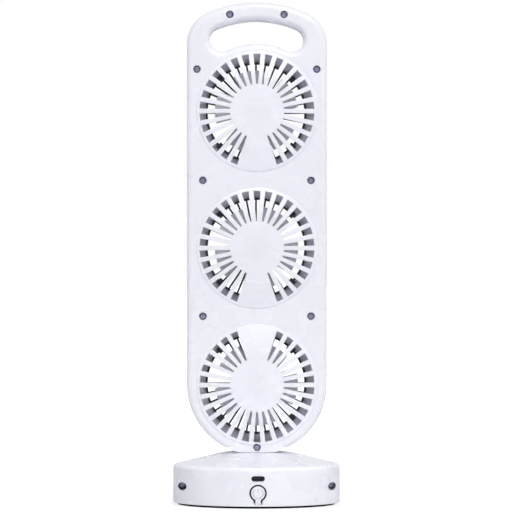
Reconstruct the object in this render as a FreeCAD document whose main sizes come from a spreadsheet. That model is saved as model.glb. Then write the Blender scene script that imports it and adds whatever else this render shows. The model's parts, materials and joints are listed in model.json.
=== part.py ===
import FreeCAD, Part
import math
import os
import re
import Sketcher
from FreeCAD import Placement, Rotation, Vector

# A portable camping fan: three impellers in one flat tower with a carry
# handle, on a round base that holds the battery, the board and the button.
# The tower swivels by hand on a hollow neck. Millimetres, +Z up, the air is
# blown towards +Y, and the screws, the air inlets and the button face -Y.

SIZES = [
    # Tower outline, seen from the rear
    ("tower_top", 360.0, "top of the handle above the ground"),
    ("tower_bottom", 37.8, "flat underside of the tower"),
    ("half_width", 50.0, "half of the tower's width"),
    ("half_depth", 18.0, "depth of each tower shell"),
    ("shell_wall", 2.2, "wall of all the housings"),
    ("top_arc", 86.0, "radius of the tower's top edge"),
    ("corner_round", 24.0, "radius of the tower's top corners"),
    ("edge_round", 4.0, "rounding of the shells' outer edges"),
    ("sole_half", 13.0, "half width of the tower's square-edged sole"),
    ("sole_spread", 5.4, "widening of the sole's lower half"),
    ("sole_taper", 4.0, "widening of its upper half"),
    ("sole_height", 3.8, "height of the sole"),
    ("fan_low", 86.0, "height of the bottom fan's axis"),
    ("fan_pitch", 98.0, "from one fan's axis to the next"),
    # Handle
    ("handle_bar", 12.4, "height of the bar over the handle opening"),
    ("lobe_round", 9.0, "radius of the handle opening's two ends"),
    ("lobe_x", 25.0, "centre of the handle opening's ends"),
    # Air inlets in the rear shell
    ("disc_radius", 25.7, "flat disc in the middle of an inlet"),
    ("disc_face", 22.0, "depth of the disc's outer face"),
    ("dome_radius", 43.5, "outer edge of the raised inlet"),
    ("dome_step", 0.6, "height of the inlet's edge over the rear face"),
    ("dome_ease", 0.6, "chamfer on that edge"),
    ("dome_wall", 2.0, "wall of the inlet"),
    ("dome_lap", 2.0, "ring by which the inlet joins the rear wall"),
    ("slot_start", 19.3, "radius where the slots begin"),
    ("slot_reach", 41.0, "outer end of the inlet slots"),
    ("slot_inside", 1.3, "slot width at the disc"),
    ("slot_outside", 5.15, "slot width at its outer end"),
    ("slot_spacing", 12.0, "angle from slot to slot"),
    # Screws of the tower
    ("tower_head_radius", 2.35, "head of a tower screw"),
    ("tower_head_height", 1.8, "height of that head"),
    ("tower_head_sink", 1.2, "head below the rear face"),
    ("tower_shank", 1.45, "radius of the tower screws' thread"),
    ("tower_screw_reach", 6.0, "thread in the front shell"),
    ("screw_gap", 0.05, "thread to pilot hole, radially"),
    ("head_gap", 0.15, "screw to its clearance hole, radially"),
    ("recess_gap", 0.4, "tower or base screw's head to its recess, radially"),
    ("boss_wall", 1.65, "wall of a boss round a recess"),
    ("handle_screw_x", 19.4, "screws in the handle bar"),
    ("handle_screw_z", 351.2, "height of these screws"),
    ("shoulder_screw_x", 42.9, "screws beside the top fan"),
    ("shoulder_screw_z", 312.0, "height of these screws"),
    ("waist_screw_x", 38.7, "screws between the fans"),
    ("waist_screw_high", 232.4, "height of the upper pair"),
    ("waist_screw_low", 135.2, "height of the lower pair"),
    ("neck_screw_z", 41.3, "height of the screw that holds the neck"),
    # Front guards
    ("outlet_radius", 36.5, "round air outlet in the front shell"),
    ("guard_gap", 0.3, "guard to the outlet, radially"),
    ("guard_sleeve", 1.2, "wall of the guard's sleeve"),
    ("guard_reach", 4.4, "sleeve behind the front face"),
    ("guard_flange", 39.0, "outer edge of the guard"),
    ("guard_flange_height", 1.8, "guard's flange before the front face"),
    ("guard_cap", 11.0, "radius of the guard's middle cap"),
    ("guard_face", 22.0, "depth of the guard's front"),
    ("guard_bar", 1.6, "thickness of a guard bar, front to rear"),
    ("guard_bar_width", 1.3, "width of a guard bar"),
    ("guard_bars", 32, "number of bars"),
    ("hook_inside", 33.2, "inner end of a guard hook"),
    ("hook_outside", 37.9, "outer end of a guard hook"),
    ("hook_width", 6.0, "width of a guard hook"),
    ("hook_gap", 0.3, "hook to the wall that it holds"),
    ("guard_chamfer", 0.9, "chamfer of the guard's flange"),
    ("bar_drop", 0.6, "a bar's inner end behind the guard's face"),
    ("bar_bow", 0.9, "a bar's middle behind the guard's face"),
    ("cap_chamfer", 1.4, "chamfer of the guard's cap"),
    # Motors
    ("motor_radius", 12.2, "motor can"),
    ("motor_length", 11.0, "motor without its front boss"),
    ("motor_ledge", 2.3, "space behind the motor for its lead"),
    ("ledge_width", 2.4, "ring behind the motor's edge"),
    ("notch_gap", 0.6, "lead to its notch in the motor's cup"),
    ("notch_depth", 4.0, "notch in from the motor's edge"),
    ("motor_gap", 0.05, "motor to its cup, radially"),
    ("cup_wall", 1.75, "wall of the motor cup"),
    ("cup_length", 9.0, "length of the motor cup"),
    ("can_wall", 0.8, "wall of the can"),
    ("cap_thickness", 0.7, "rim of the motor's end cap"),
    ("cap_plug", 1.2, "part of the end cap inside the can"),
    ("bearing_radius", 3.0, "motor's front bearing boss"),
    ("bearing_length", 1.2, "length of that boss"),
    ("shaft_radius", 1.0, "motor shaft"),
    ("shaft_gap", 0.05, "shaft in its bearings, radially"),
    ("armature_radius", 8.3, "armature"),
    ("armature_length", 6.0, "armature along the shaft"),
    ("shaft_short", 0.5, "shaft's end behind the hub's front"),
    ("commutator_radius", 2.5, "commutator on the shaft"),
    ("commutator_length", 0.6, "commutator behind the armature"),
    ("spacer_radius", 1.8, "spacer before the armature"),
    ("spacer_length", 1.0, "length of the spacer"),
    ("spacer_gap", 0.2, "spacer to the can"),
    ("magnet_inside", 8.9, "inner face of the magnets"),
    ("magnet_length", 7.4, "magnets along the shaft"),
    ("magnet_split", 11.0, "gap between the two magnets"),
    ("bracket_thickness", 1.0, "bracket over the motor"),
    ("motor_screw_x", 16.3, "motor screws from the fan's axis"),
    ("motor_boss_radius", 2.7, "boss of a motor screw"),
    ("small_shank", 0.85, "thread radius of the small screws"),
    ("small_head_radius", 1.9, "head of the small screws"),
    ("small_head_height", 1.2, "height of that head"),
    ("small_screw_reach", 5.0, "small screw's thread below its seat"),
    # Impellers
    ("tip_radius", 30.0, "tips of the blades"),
    ("hub_radius", 11.0, "hub of an impeller"),
    ("hub_back", -4.2, "rear end of the hub"),
    ("hub_front", 6.0, "front end of the hub"),
    ("hub_wall", 1.5, "wall of the hub"),
    ("hub_boss", 3.0, "boss round the shaft"),
    ("hub_bore_gap", 0.02, "shaft in the hub's bore, radially"),
    ("blades", 5, "number of blades"),
    ("blade_thickness", 1.4, "thickness of a blade"),
    ("hub_chamfer", 1.0, "chamfer of the hub's front"),
    ("middle_sweep", 1.0, "sweep of a blade at its middle"),
    ("tip_sweep", 3.0, "sweep of a blade past its tip"),
    ("tip_over", 4.0, "blade past its tip before it is trimmed"),
    ("blade_depth", 8.2, "blade along the axis"),
    ("root_span", 10.4, "blade across the axis, at the hub"),
    ("tip_span", 27.0, "blade across the axis, past the tip"),
    # Neck between the base and the tower
    ("neck_radius", 9.0, "neck's bearing in the base"),
    ("neck_gap", 0.05, "neck in the base, radially"),
    ("neck_bore", 5.5, "hollow of the neck"),
    ("neck_seat_gap", 0.1, "neck flange below the base's crest"),
    ("neck_flange", 13.5, "flange under the base's crest"),
    ("neck_flange_height", 2.6, "height of the flange"),
    ("neck_block_x", 12.5, "half width of the neck's block"),
    ("neck_block_height", 4.6, "height of the neck's block"),
    ("neck_screw_boss", 2.9, "boss of the neck screw"),
    ("neck_screw_reach", 7.0, "thread in the neck"),
    ("neck_boss_half", 4.5, "half width of the rear shell's boss for the neck"),
    ("neck_boss_rise", 4.8, "that boss above the neck screw"),
    ("block_gap", 0.2, "neck's block to the shell's floor"),
    ("boss_gap", 0.4, "neck's boss to the rear shell's"),
    ("boss_room", 0.1, "cutter past the neck's boss"),
    ("lug_reach", 17.0, "outer end of the swivel's stop lug"),
    ("lug_half", 3.0, "half width of the stop lug"),
    ("stop_gap", 0.2, "lug to stop at the end of the swivel"),
    ("stop_width", 3.0, "width of a stop"),
    ("swivel_limit", 45.0, "swivel to each side, degrees"),
    # Base
    ("base_radius", 60.0, "radius of the base"),
    ("crest_radius", 22.4, "where the flat crest would meet the cone"),
    ("crest_height", 37.7, "top of the base"),
    ("crest_round", 50.0, "rounding from the crest to the cone"),
    ("shoulder_height", 28.6, "where the cone would meet the side"),
    ("shoulder_round", 3.0, "rounding of that edge"),
    ("foot_height", 1.6, "rubber foot"),
    ("foot_inset", 3.6, "foot in from the base's side"),
    ("foot_width", 5.4, "width of the foot's ring"),
    ("plate_gap", 0.4, "base plate to the shells, radially"),
    ("plate_thickness", 2.4, "base plate"),
    ("base_screw_inset", 6.6, "base screws in from the base's side"),
    ("base_screw_z", 14.0, "height of these screws"),
    ("base_head_radius", 2.55, "head of a base screw"),
    ("base_head_height", 2.0, "height of that head"),
    ("base_seat", 6.0, "head's seat behind the joint of the halves"),
    ("base_screw_reach", 8.0, "thread in the front half"),
    ("base_boss_radius", 4.15, "bosses of the base screws"),
    ("plate_inset_x", 18.0, "plate screws in from the base's side, sideways"),
    ("plate_inset_y", 38.0, "the same, forwards and backwards"),
    ("plate_head_radius", 2.4, "head of a plate screw"),
    ("plate_head_height", 1.3, "height of that head"),
    ("plate_head_sink", 0.25, "head below the plate's underside"),
    ("plate_shank", 1.25, "thread radius of a plate screw"),
    ("plate_screw_length", 9.0, "plate screw below its head"),
    ("plate_boss_radius", 3.2, "bosses of the plate screws"),
    # Battery
    ("cell_radius", 9.2, "battery cell"),
    ("cell_length", 65.0, "length of a cell"),
    ("cell_near", 12.0, "depth of the first cell's axis"),
    ("cell_pitch", 19.0, "from the first cell's axis to the second's"),
    ("tray_floor", 1.5, "tray under the cells"),
    ("tray_height", 6.0, "height of the tray"),
    ("tray_wall", 2.2, "end walls of the tray"),
    ("cell_gap", 0.05, "cell to the tray"),
    ("strap_thickness", 0.25, "nickel strap"),
    ("strap_height", 7.0, "height of a strap"),
    ("strap_end", 3.0, "strap past a cell's axis"),
    # Board, socket and switch
    ("board_inset", 10.0, "board's rear face in from the base's side"),
    ("board_thickness", 1.6, "circuit board"),
    ("board_half_width", 20.0, "half width of the board"),
    ("board_low", 5.0, "lower edge of the board"),
    ("board_high", 26.5, "upper edge of the board"),
    ("board_screw_x", 16.0, "screws of the board"),
    ("board_screw_z", 17.0, "height of these screws"),
    ("board_post_radius", 3.0, "posts that carry the board"),
    ("post_inset", 3.8, "posts' roots in from the base's side"),
    ("usb_height", 21.2, "height of the charging socket"),
    ("usb_width", 8.94, "width of the socket's shell"),
    ("usb_thickness", 3.2, "height of the socket's shell"),
    ("usb_wall", 0.3, "sheet of the socket's shell"),
    ("usb_inset", 1.4, "socket's mouth in from the base's side"),
    ("usb_gap", 0.3, "socket to its opening"),
    ("usb_back", 2.0, "moulded block at the socket's back"),
    ("tongue_width", 6.7, "contact tongue"),
    ("tongue_thickness", 0.7, "thickness of the tongue"),
    ("tongue_length", 5.6, "tongue before the block"),
    ("button_height", 11.0, "height of the button's middle"),
    ("button_radius", 4.95, "round face of the button"),
    ("button_slot", 1.2, "slot round the button"),
    ("button_neck", 1.9, "half width of the button's bending strip"),
    ("button_thickness", 1.8, "thickness of the button"),
    ("button_root", 2.9, "lower end of the button's slot"),
    ("button_root_gap", 0.08, "button to the shell at the bend"),
    ("button_post", 1.5, "radius of the post behind the button"),
    ("post_gap", 0.3, "post to the switch's plunger"),
    ("switch_size", 6.0, "body of the switch"),
    ("switch_depth", 3.5, "depth of the switch"),
    ("plunger_radius", 1.7, "switch's plunger"),
    ("plunger_out", 1.4, "plunger out of the switch"),
    ("plunger_in", 0.8, "plunger inside the switch"),
    ("plunger_room", 0.7, "free depth behind the plunger"),
    # Making
    ("lap", 0.5, "reach of one form into the form that it joins"),
    ("over", 1.0, "reach of a cutter past the face that it cuts"),
    ("slip", 0.02, "gap between pieces that are glued or pressed together"),
    # Leads
    ("motor_lead", 0.9, "radius of a motor's lead"),
    ("sheath", 2.0, "radius of the lead through the neck"),
    ("battery_lead", 0.8, "radius of a battery lead"),
    ("lead_top", 41.0, "where the motor leads enter the sheath"),
    ("lead_joint", 31.0, "where the neck's lead meets the board's"),
]

doc = FreeCAD.newDocument("CampingFan")
sheet = doc.addObject("Spreadsheet::Sheet", "Sizes")
for row, (alias, number, meaning) in enumerate(SIZES, start=1):
    sheet.set(f"A{row}", meaning)
    sheet.set(f"B{row}", str(number))
    sheet.setAlias(f"B{row}", alias)
doc.recompute()

ALIASES = {alias for alias, number, meaning in SIZES}
NODES = []
FANS = {"top": 2, "middle": 1, "bottom": 0}
Condition = Sketcher.Constraint


def size(alias):
    """The number in the sheet."""
    return float(getattr(sheet, alias))


def named(text):
    """An expression in which each size is read from the sheet."""
    def cell(word):
        return "Sizes." + word.group() if word.group() in ALIASES else word.group()
    return re.sub(r"[a-z_]+", cell, str(text))


def bind(item, prop, text):
    item.setExpression(prop, named(text))


def fan_height(fan):
    """The height of a fan's axis, as an expression."""
    return f"fan_low + {FANS[fan]} * fan_pitch"


def fan_z(fan):
    """The same height as a number."""
    return size("fan_low") + FANS[fan] * size("fan_pitch")


def keep(item, node):
    """Name a finished sub-part."""
    item.Label = node
    NODES.append(item)
    return item


# Sketches and features of a body

def new_body(node):
    return keep(doc.addObject("PartDesign::Body", node + "_body"), node)


def new_sketch(body, name, plane, off="0", along="0", up="0", turn=0.0):
    """A sketch on one of the body's own planes, moved by expressions."""
    sketch = body.newObject("Sketcher::SketchObject", name)
    origin_plane = [item for item in body.Origin.OriginFeatures if item.Role == plane][0]
    sketch.AttachmentSupport = (origin_plane, "")
    sketch.MapMode = "FlatFace"
    sketch.AttachmentOffset = Placement(Vector(0, 0, 0), Rotation(Vector(0, 0, 1), turn))
    bind(sketch, "AttachmentOffset.Base.x", along)
    bind(sketch, "AttachmentOffset.Base.y", up)
    bind(sketch, "AttachmentOffset.Base.z", off)
    return sketch


def dimension(sketch, condition, text):
    number = sketch.addConstraint(condition)
    sketch.setExpression(f"Constraints[{number}]", named(text))


def place_point(sketch, line, end, x, y):
    """Hold a point of the sketch, drawn about there, at two expressions."""
    drawn = sketch.getPoint(line, end)
    if str(x) == "0":
        sketch.addConstraint(Condition("PointOnObject", line, end, -2))
    else:
        dimension(sketch, Condition("DistanceX", -1, 1, line, end, drawn.x), x)
    if str(y) == "0":
        sketch.addConstraint(Condition("PointOnObject", line, end, -1))
    else:
        dimension(sketch, Condition("DistanceY", -1, 1, line, end, drawn.y), y)


def polygon(sketch, corners):
    """A closed outline of straight lines between bound corners."""
    first = sketch.GeometryCount
    count = len(corners)
    turns = [2 * math.pi * index / count for index in range(count)]
    start = [Vector(9 * math.cos(turn) + 20, 9 * math.sin(turn) + 20, 0) for turn in turns]
    for index in range(count):
        sketch.addGeometry(Part.LineSegment(start[index], start[(index + 1) % count]), False)
    for index in range(count):
        after = first + (index + 1) % count
        sketch.addConstraint(Condition("Coincident", first + index, 2, after, 1))
    for index, (x, y) in enumerate(corners):
        place_point(sketch, first + index, 1, x, y)


def circles(sketch, items):
    """Circles at bound centres with bound radii."""
    for x, y, radius in items:
        circle = Part.Circle(Vector(20, 20, 0), Vector(0, 0, 1), 3)
        number = sketch.addGeometry(circle, False)
        place_point(sketch, number, 3, x, y)
        dimension(sketch, Condition("Radius", number, 3.0), radius)


def arc(x, y, radius, start, end):
    return Part.ArcOfCircle(Part.Circle(Vector(x, y, 0), Vector(0, 0, 1), radius), start, end)


def pad(body, sketch, length, backwards=False, both=False):
    feature = body.newObject("PartDesign::Pad", sketch.Name + "_pad")
    feature.Profile = sketch
    feature.Reversed = backwards
    feature.Midplane = both
    bind(feature, "Length", length)
    return feature


def pocket(body, sketch, length=None, backwards=False):
    """A cut against the sketch's normal, or right through the body."""
    feature = body.newObject("PartDesign::Pocket", sketch.Name + "_cut")
    feature.Profile = sketch
    feature.Reversed = backwards
    if length is None:
        feature.Type = "ThroughAll"
        feature.Midplane = True
    else:
        bind(feature, "Length", length)
    return feature


def revolve(body, sketch, axis, angle=360.0, backwards=False, cut=False):
    kind = "PartDesign::Groove" if cut else "PartDesign::Revolution"
    feature = body.newObject(kind, sketch.Name + "_turn")
    feature.Profile = sketch
    feature.ReferenceAxis = (sketch, [axis])
    feature.Angle = angle
    feature.Reversed = backwards
    return feature


def polar(body, features, sketch, count, angle=360.0):
    """Copies of a feature about the sketch's normal."""
    feature = body.newObject("PartDesign::PolarPattern", features[0].Name + "_ring")
    feature.Originals = features
    feature.Axis = (sketch, ["N_Axis"])
    feature.Angle = angle
    feature.Occurrences = int(count)
    body.Tip = feature
    return feature


def round_edges(body, feature, test, radius):
    """Round the edges that the test picks."""
    doc.recompute()
    names = []
    for number, edge in enumerate(feature.Shape.Edges, start=1):
        if test(edge):
            names.append(f"Edge{number}")
    fillet = body.newObject("PartDesign::Fillet", feature.Name + "_round")
    fillet.Base = (feature, names)
    bind(fillet, "Radius", radius)
    return fillet


# Plain solids and their combinations

TURNS = {
    "z": Rotation(),
    "x": Rotation(Vector(0, 1, 0), 90),
    "y": Rotation(Vector(1, 0, 0), -90),
    "-y": Rotation(Vector(1, 0, 0), 90),
}


def put(item, at):
    for axis, text in zip("xyz", at):
        bind(item, f"Placement.Base.{axis}", text)
    return item


def cylinder(name, radius, length, at, along="z"):
    item = doc.addObject("Part::Cylinder", name)
    bind(item, "Radius", radius)
    bind(item, "Height", length)
    item.Placement = Placement(Vector(), TURNS[along])
    return put(item, at)


def box(name, sides, at):
    item = doc.addObject("Part::Box", name)
    for prop, text in zip(("Length", "Width", "Height"), sides):
        bind(item, prop, text)
    return put(item, at)


def join(name, items):
    result = doc.addObject("Part::MultiFuse", name)
    result.Shapes = items
    return result


def cut(name, base, tools):
    result = doc.addObject("Part::Cut", name)
    result.Base = base
    result.Tool = tools[0] if len(tools) == 1 else join(name + "_tools", tools)
    return result


def group(name, items):
    result = doc.addObject("Part::Compound", name)
    result.Links = items
    return result


def cone(name, radius, height, at, along, small_first):
    """The crown of a pan head, which narrows away from the seat."""
    item = doc.addObject("Part::Cone", name)
    small = f"({radius}) * {CROWN_SHARE}"
    bind(item, "Radius1", small if small_first else radius)
    bind(item, "Radius2", radius if small_first else small)
    bind(item, "Height", height)
    item.Placement = Placement(Vector(), TURNS[along])
    return put(item, at)


# A screw head in shares of its own radius and height
RIM_SHARE = 0.4
CROWN_SHARE = 0.7
ARM_SHARE = 0.6
SLOT_SHARE = 0.2
RECESS_SHARE = 0.6


def screw(name, seat, along, head, height, shank, length):
    """A cross-recess screw whose head rests on its seat, thread along the axis."""
    x, y, z = seat
    turn = {"z": 2, "-z": 2, "y": 1, "-y": 1}[along]
    down = along in ("z", "y")
    letter = "z" if turn == 2 else "y"
    start = [x, y, z]
    head_at = list(start)
    shank_at = list(start)
    if down:
        head_at[turn] = f"{start[turn]} - ({height})"
    else:
        shank_at[turn] = f"{start[turn]} - ({length})"
    rim = f"({height}) * {RIM_SHARE}"
    crown = f"({height}) * (1 - {RIM_SHARE})"
    rim_at = list(head_at)
    crown_at = list(head_at)
    if down:
        rim_at[turn] = f"{head_at[turn]} + {crown}"
    else:
        crown_at[turn] = f"{head_at[turn]} + {rim}"
    parts = [
        cylinder(name + "_rim", head, rim, rim_at, letter),
        cone(name + "_crown", head, crown, crown_at, letter, down),
        cylinder(name + "_thread", shank, length, shank_at, letter),
    ]
    blank = join(name + "_blank", parts)
    arm = f"({head}) * {ARM_SHARE}"
    thin = f"({head}) * {SLOT_SHARE}"
    deep = f"({height}) * {RECESS_SHARE}"
    recess = []
    for number, (one, two) in enumerate(((arm, thin), (thin, arm))):
        low = [f"{x} - ({one})", f"{y} - ({one})", f"{z} - ({two})"]
        sides = [f"2 * ({one})", f"2 * ({one})", f"2 * ({two})"]
        if turn == 2:
            low[1] = f"{y} - ({two})"
            sides[1] = f"2 * ({two})"
        top = f"{start[turn]} - ({height}) - over" if down else f"{start[turn]} + ({height}) - ({deep})"
        low[turn] = top
        sides[turn] = f"{deep} + over"
        recess.append(box(f"{name}_recess{number}", sides, low))
    return cut(name, blank, recess)


# The outline of the tower and of its handle opening

def tower_outline(sketch, inset):
    """The tower's edge, moved inwards by the inset."""
    moved = size(inset) if inset != "0" else 0.0
    axis_z = size("fan_low")
    arc_z = size("tower_top") - size("top_arc")
    corner_x = size("half_width") - size("corner_round")
    corner_z = arc_z + math.sqrt((size("top_arc") - size("corner_round")) ** 2 - corner_x ** 2)
    side = size("half_width") - moved
    corner = size("corner_round") - moved
    top = size("top_arc") - moved
    floor = size("tower_bottom") + moved
    meet = math.atan2(corner_z - arc_z, corner_x)
    chord = math.asin((axis_z - floor) / side)
    chord_x = side * math.cos(chord)
    pi = math.pi
    first = sketch.GeometryCount
    sketch.addGeometry([
        Part.LineSegment(Vector(-chord_x, floor, 0), Vector(chord_x, floor, 0)),
        arc(0, axis_z, side, 2 * pi - chord, 2 * pi),
        Part.LineSegment(Vector(side, axis_z, 0), Vector(side, corner_z, 0)),
        arc(corner_x, corner_z, corner, 0, meet),
        arc(0, arc_z, top, meet, pi - meet),
        arc(-corner_x, corner_z, corner, pi - meet, pi),
        Part.LineSegment(Vector(-side, corner_z, 0), Vector(-side, axis_z, 0)),
        arc(0, axis_z, side, pi, pi + chord),
    ], False)
    flat, right, right_side, right_corner, crown, left_corner, left_side, left = range(first, first + 8)
    sketch.addConstraint([
        Condition("Coincident", flat, 2, right, 1),
        Condition("Coincident", left, 2, flat, 1),
        Condition("Tangent", right, 2, right_side, 1),
        Condition("Tangent", right_side, 2, right_corner, 1),
        Condition("Tangent", right_corner, 2, crown, 1),
        Condition("Tangent", crown, 2, left_corner, 1),
        Condition("Tangent", left_corner, 2, left_side, 1),
        Condition("Tangent", left_side, 2, left, 1),
        Condition("PointOnObject", right, 3, -2),
        Condition("Coincident", left, 3, right, 3),
        Condition("Equal", right, left),
        Condition("Vertical", right_side),
        Condition("Vertical", left_side),
        Condition("Horizontal", flat),
        Condition("PointOnObject", crown, 3, -2),
    ])
    dimension(sketch, Condition("DistanceY", -1, 1, right, 3, axis_z), "fan_low")
    dimension(sketch, Condition("Radius", right, side), f"half_width - {inset}")
    dimension(sketch, Condition("Radius", right_corner, corner), f"corner_round - {inset}")
    dimension(sketch, Condition("Radius", left_corner, corner), f"corner_round - {inset}")
    dimension(sketch, Condition("Radius", crown, top), f"top_arc - {inset}")
    dimension(sketch, Condition("DistanceY", -1, 1, crown, 3, arc_z), "tower_top - top_arc")
    dimension(sketch, Condition("DistanceY", -1, 1, flat, 1, floor), f"tower_bottom + {inset}")


def handle_outline(sketch, grow):
    """The handle opening: its lower edge runs round the top fan."""
    moved = size(grow) if grow != "0" else 0.0
    arc_z = size("tower_top") - size("top_arc")
    top = size("top_arc") - size("handle_bar")
    lobe = size("lobe_round")
    lobe_x = size("lobe_x")
    lobe_z = arc_z + math.sqrt((top - lobe) ** 2 - lobe_x ** 2)
    axis_z = fan_z("top")
    low = math.hypot(lobe_x, lobe_z - axis_z) - lobe
    high_turn = math.atan2(lobe_z - arc_z, lobe_x)
    low_turn = math.atan2(lobe_z - axis_z, lobe_x)
    pi = math.pi
    first = sketch.GeometryCount
    sketch.addGeometry([
        arc(0, arc_z, top + moved, high_turn, pi - high_turn),
        arc(-lobe_x, lobe_z, lobe + moved, pi - high_turn, 2 * pi - low_turn),
        arc(0, axis_z, low - moved, low_turn, pi - low_turn),
        arc(lobe_x, lobe_z, lobe + moved, pi + low_turn, 2 * pi + high_turn),
    ], False)
    upper, left, lower, right = range(first, first + 4)
    sketch.addConstraint([
        Condition("Tangent", upper, 2, left, 1),
        Condition("Tangent", left, 2, lower, 2),
        Condition("Tangent", lower, 1, right, 1),
        Condition("Tangent", right, 2, upper, 1),
        Condition("PointOnObject", upper, 3, -2),
    ])
    dimension(sketch, Condition("DistanceY", -1, 1, upper, 3, arc_z), "tower_top - top_arc")
    dimension(sketch, Condition("Radius", upper, top), f"top_arc - handle_bar + {grow}")
    dimension(sketch, Condition("Radius", left, lobe), f"lobe_round + {grow}")
    dimension(sketch, Condition("Radius", right, lobe), f"lobe_round + {grow}")
    dimension(sketch, Condition("DistanceX", -1, 1, right, 3, lobe_x), "lobe_x")
    dimension(sketch, Condition("DistanceX", -1, 1, left, 3, -lobe_x), "-lobe_x")
    dimension(sketch, Condition("DistanceY", -1, 1, lower, 3, axis_z), fan_height("top"))


SIDE_SCREWS = []
for screw_x, screw_z in (
    ("handle_screw_x", "handle_screw_z"),
    ("shoulder_screw_x", "shoulder_screw_z"),
    ("waist_screw_x", "waist_screw_high"),
    ("waist_screw_x", "waist_screw_low"),
):
    SIDE_SCREWS.append((screw_x, screw_z))
    SIDE_SCREWS.append(("-" + screw_x, screw_z))
TOWER_SCREWS = SIDE_SCREWS + [("0", "neck_screw_z")]

HEAD_SEAT = "half_depth - tower_head_sink - tower_head_height"
MOTOR_BACK = "disc_face - dome_wall - motor_ledge"
MOTOR_FRONT = "disc_face - dome_wall - motor_ledge - motor_length"
BOSS_RADIUS = "tower_head_radius + recess_gap + boss_wall"
INNER_FACE = "half_depth - shell_wall"
BASE_SCREW_X = "(base_radius - base_screw_inset)"
BOARD_FACE = "(base_radius - board_inset)"
FOOT_OUTSIDE = "(base_radius - foot_inset)"
FOOT_INSIDE = "(base_radius - foot_inset - foot_width)"
PLATE_SCREW_X = "(base_radius - plate_inset_x)"
PLATE_SCREW_Y = "(base_radius - plate_inset_y)"


def hollow_shell(body, forwards):
    """One half of the tower: its outer form, the rounded edge, the sole and the hollow."""
    outside = new_sketch(body, body.Label + "_outside", "XZ_Plane")
    tower_outline(outside, "0")
    handle_outline(outside, "0")
    block = pad(body, outside, "half_depth", backwards=forwards)
    face = size("half_depth")

    def at_the_face(edge):
        bounds = edge.BoundBox
        return bounds.YMin > face - 0.01 if forwards else bounds.YMax < 0.01 - face

    round_edges(body, block, at_the_face, "edge_round")
    sole = new_sketch(body, body.Label + "_sole", "XZ_Plane")
    polygon(sole, [
        ("-sole_half", "tower_bottom"),
        ("sole_half", "tower_bottom"),
        ("sole_half + sole_spread", "tower_bottom + sole_height / 2"),
        ("sole_half + sole_spread + sole_taper", "tower_bottom + sole_height"),
        ("-sole_half - sole_spread - sole_taper", "tower_bottom + sole_height"),
        ("-sole_half - sole_spread", "tower_bottom + sole_height / 2"),
    ])
    pad(body, sole, "half_depth", backwards=forwards)
    inside = new_sketch(body, body.Label + "_inside", "XZ_Plane")
    tower_outline(inside, "shell_wall")
    handle_outline(inside, "shell_wall")
    pocket(body, inside, INNER_FACE, backwards=not forwards)


def neck_opening(body):
    """The round hole for the neck in the tower's flat underside."""
    hole = new_sketch(body, body.Label + "_neck_hole", "XY_Plane", off="tower_bottom - over")
    circles(hole, [("0", "0", "neck_radius + guard_gap")])
    pocket(body, hole, "shell_wall + 2 * over", backwards=True)


def inlet_holes(body):
    """Round holes in the rear wall, which the raised inlets fill."""
    holes = new_sketch(body, "inlet_holes", "XZ_Plane")
    circles(holes, [("0", fan_height(fan), "dome_radius - dome_lap") for fan in FANS])
    pocket(body, holes)


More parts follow.
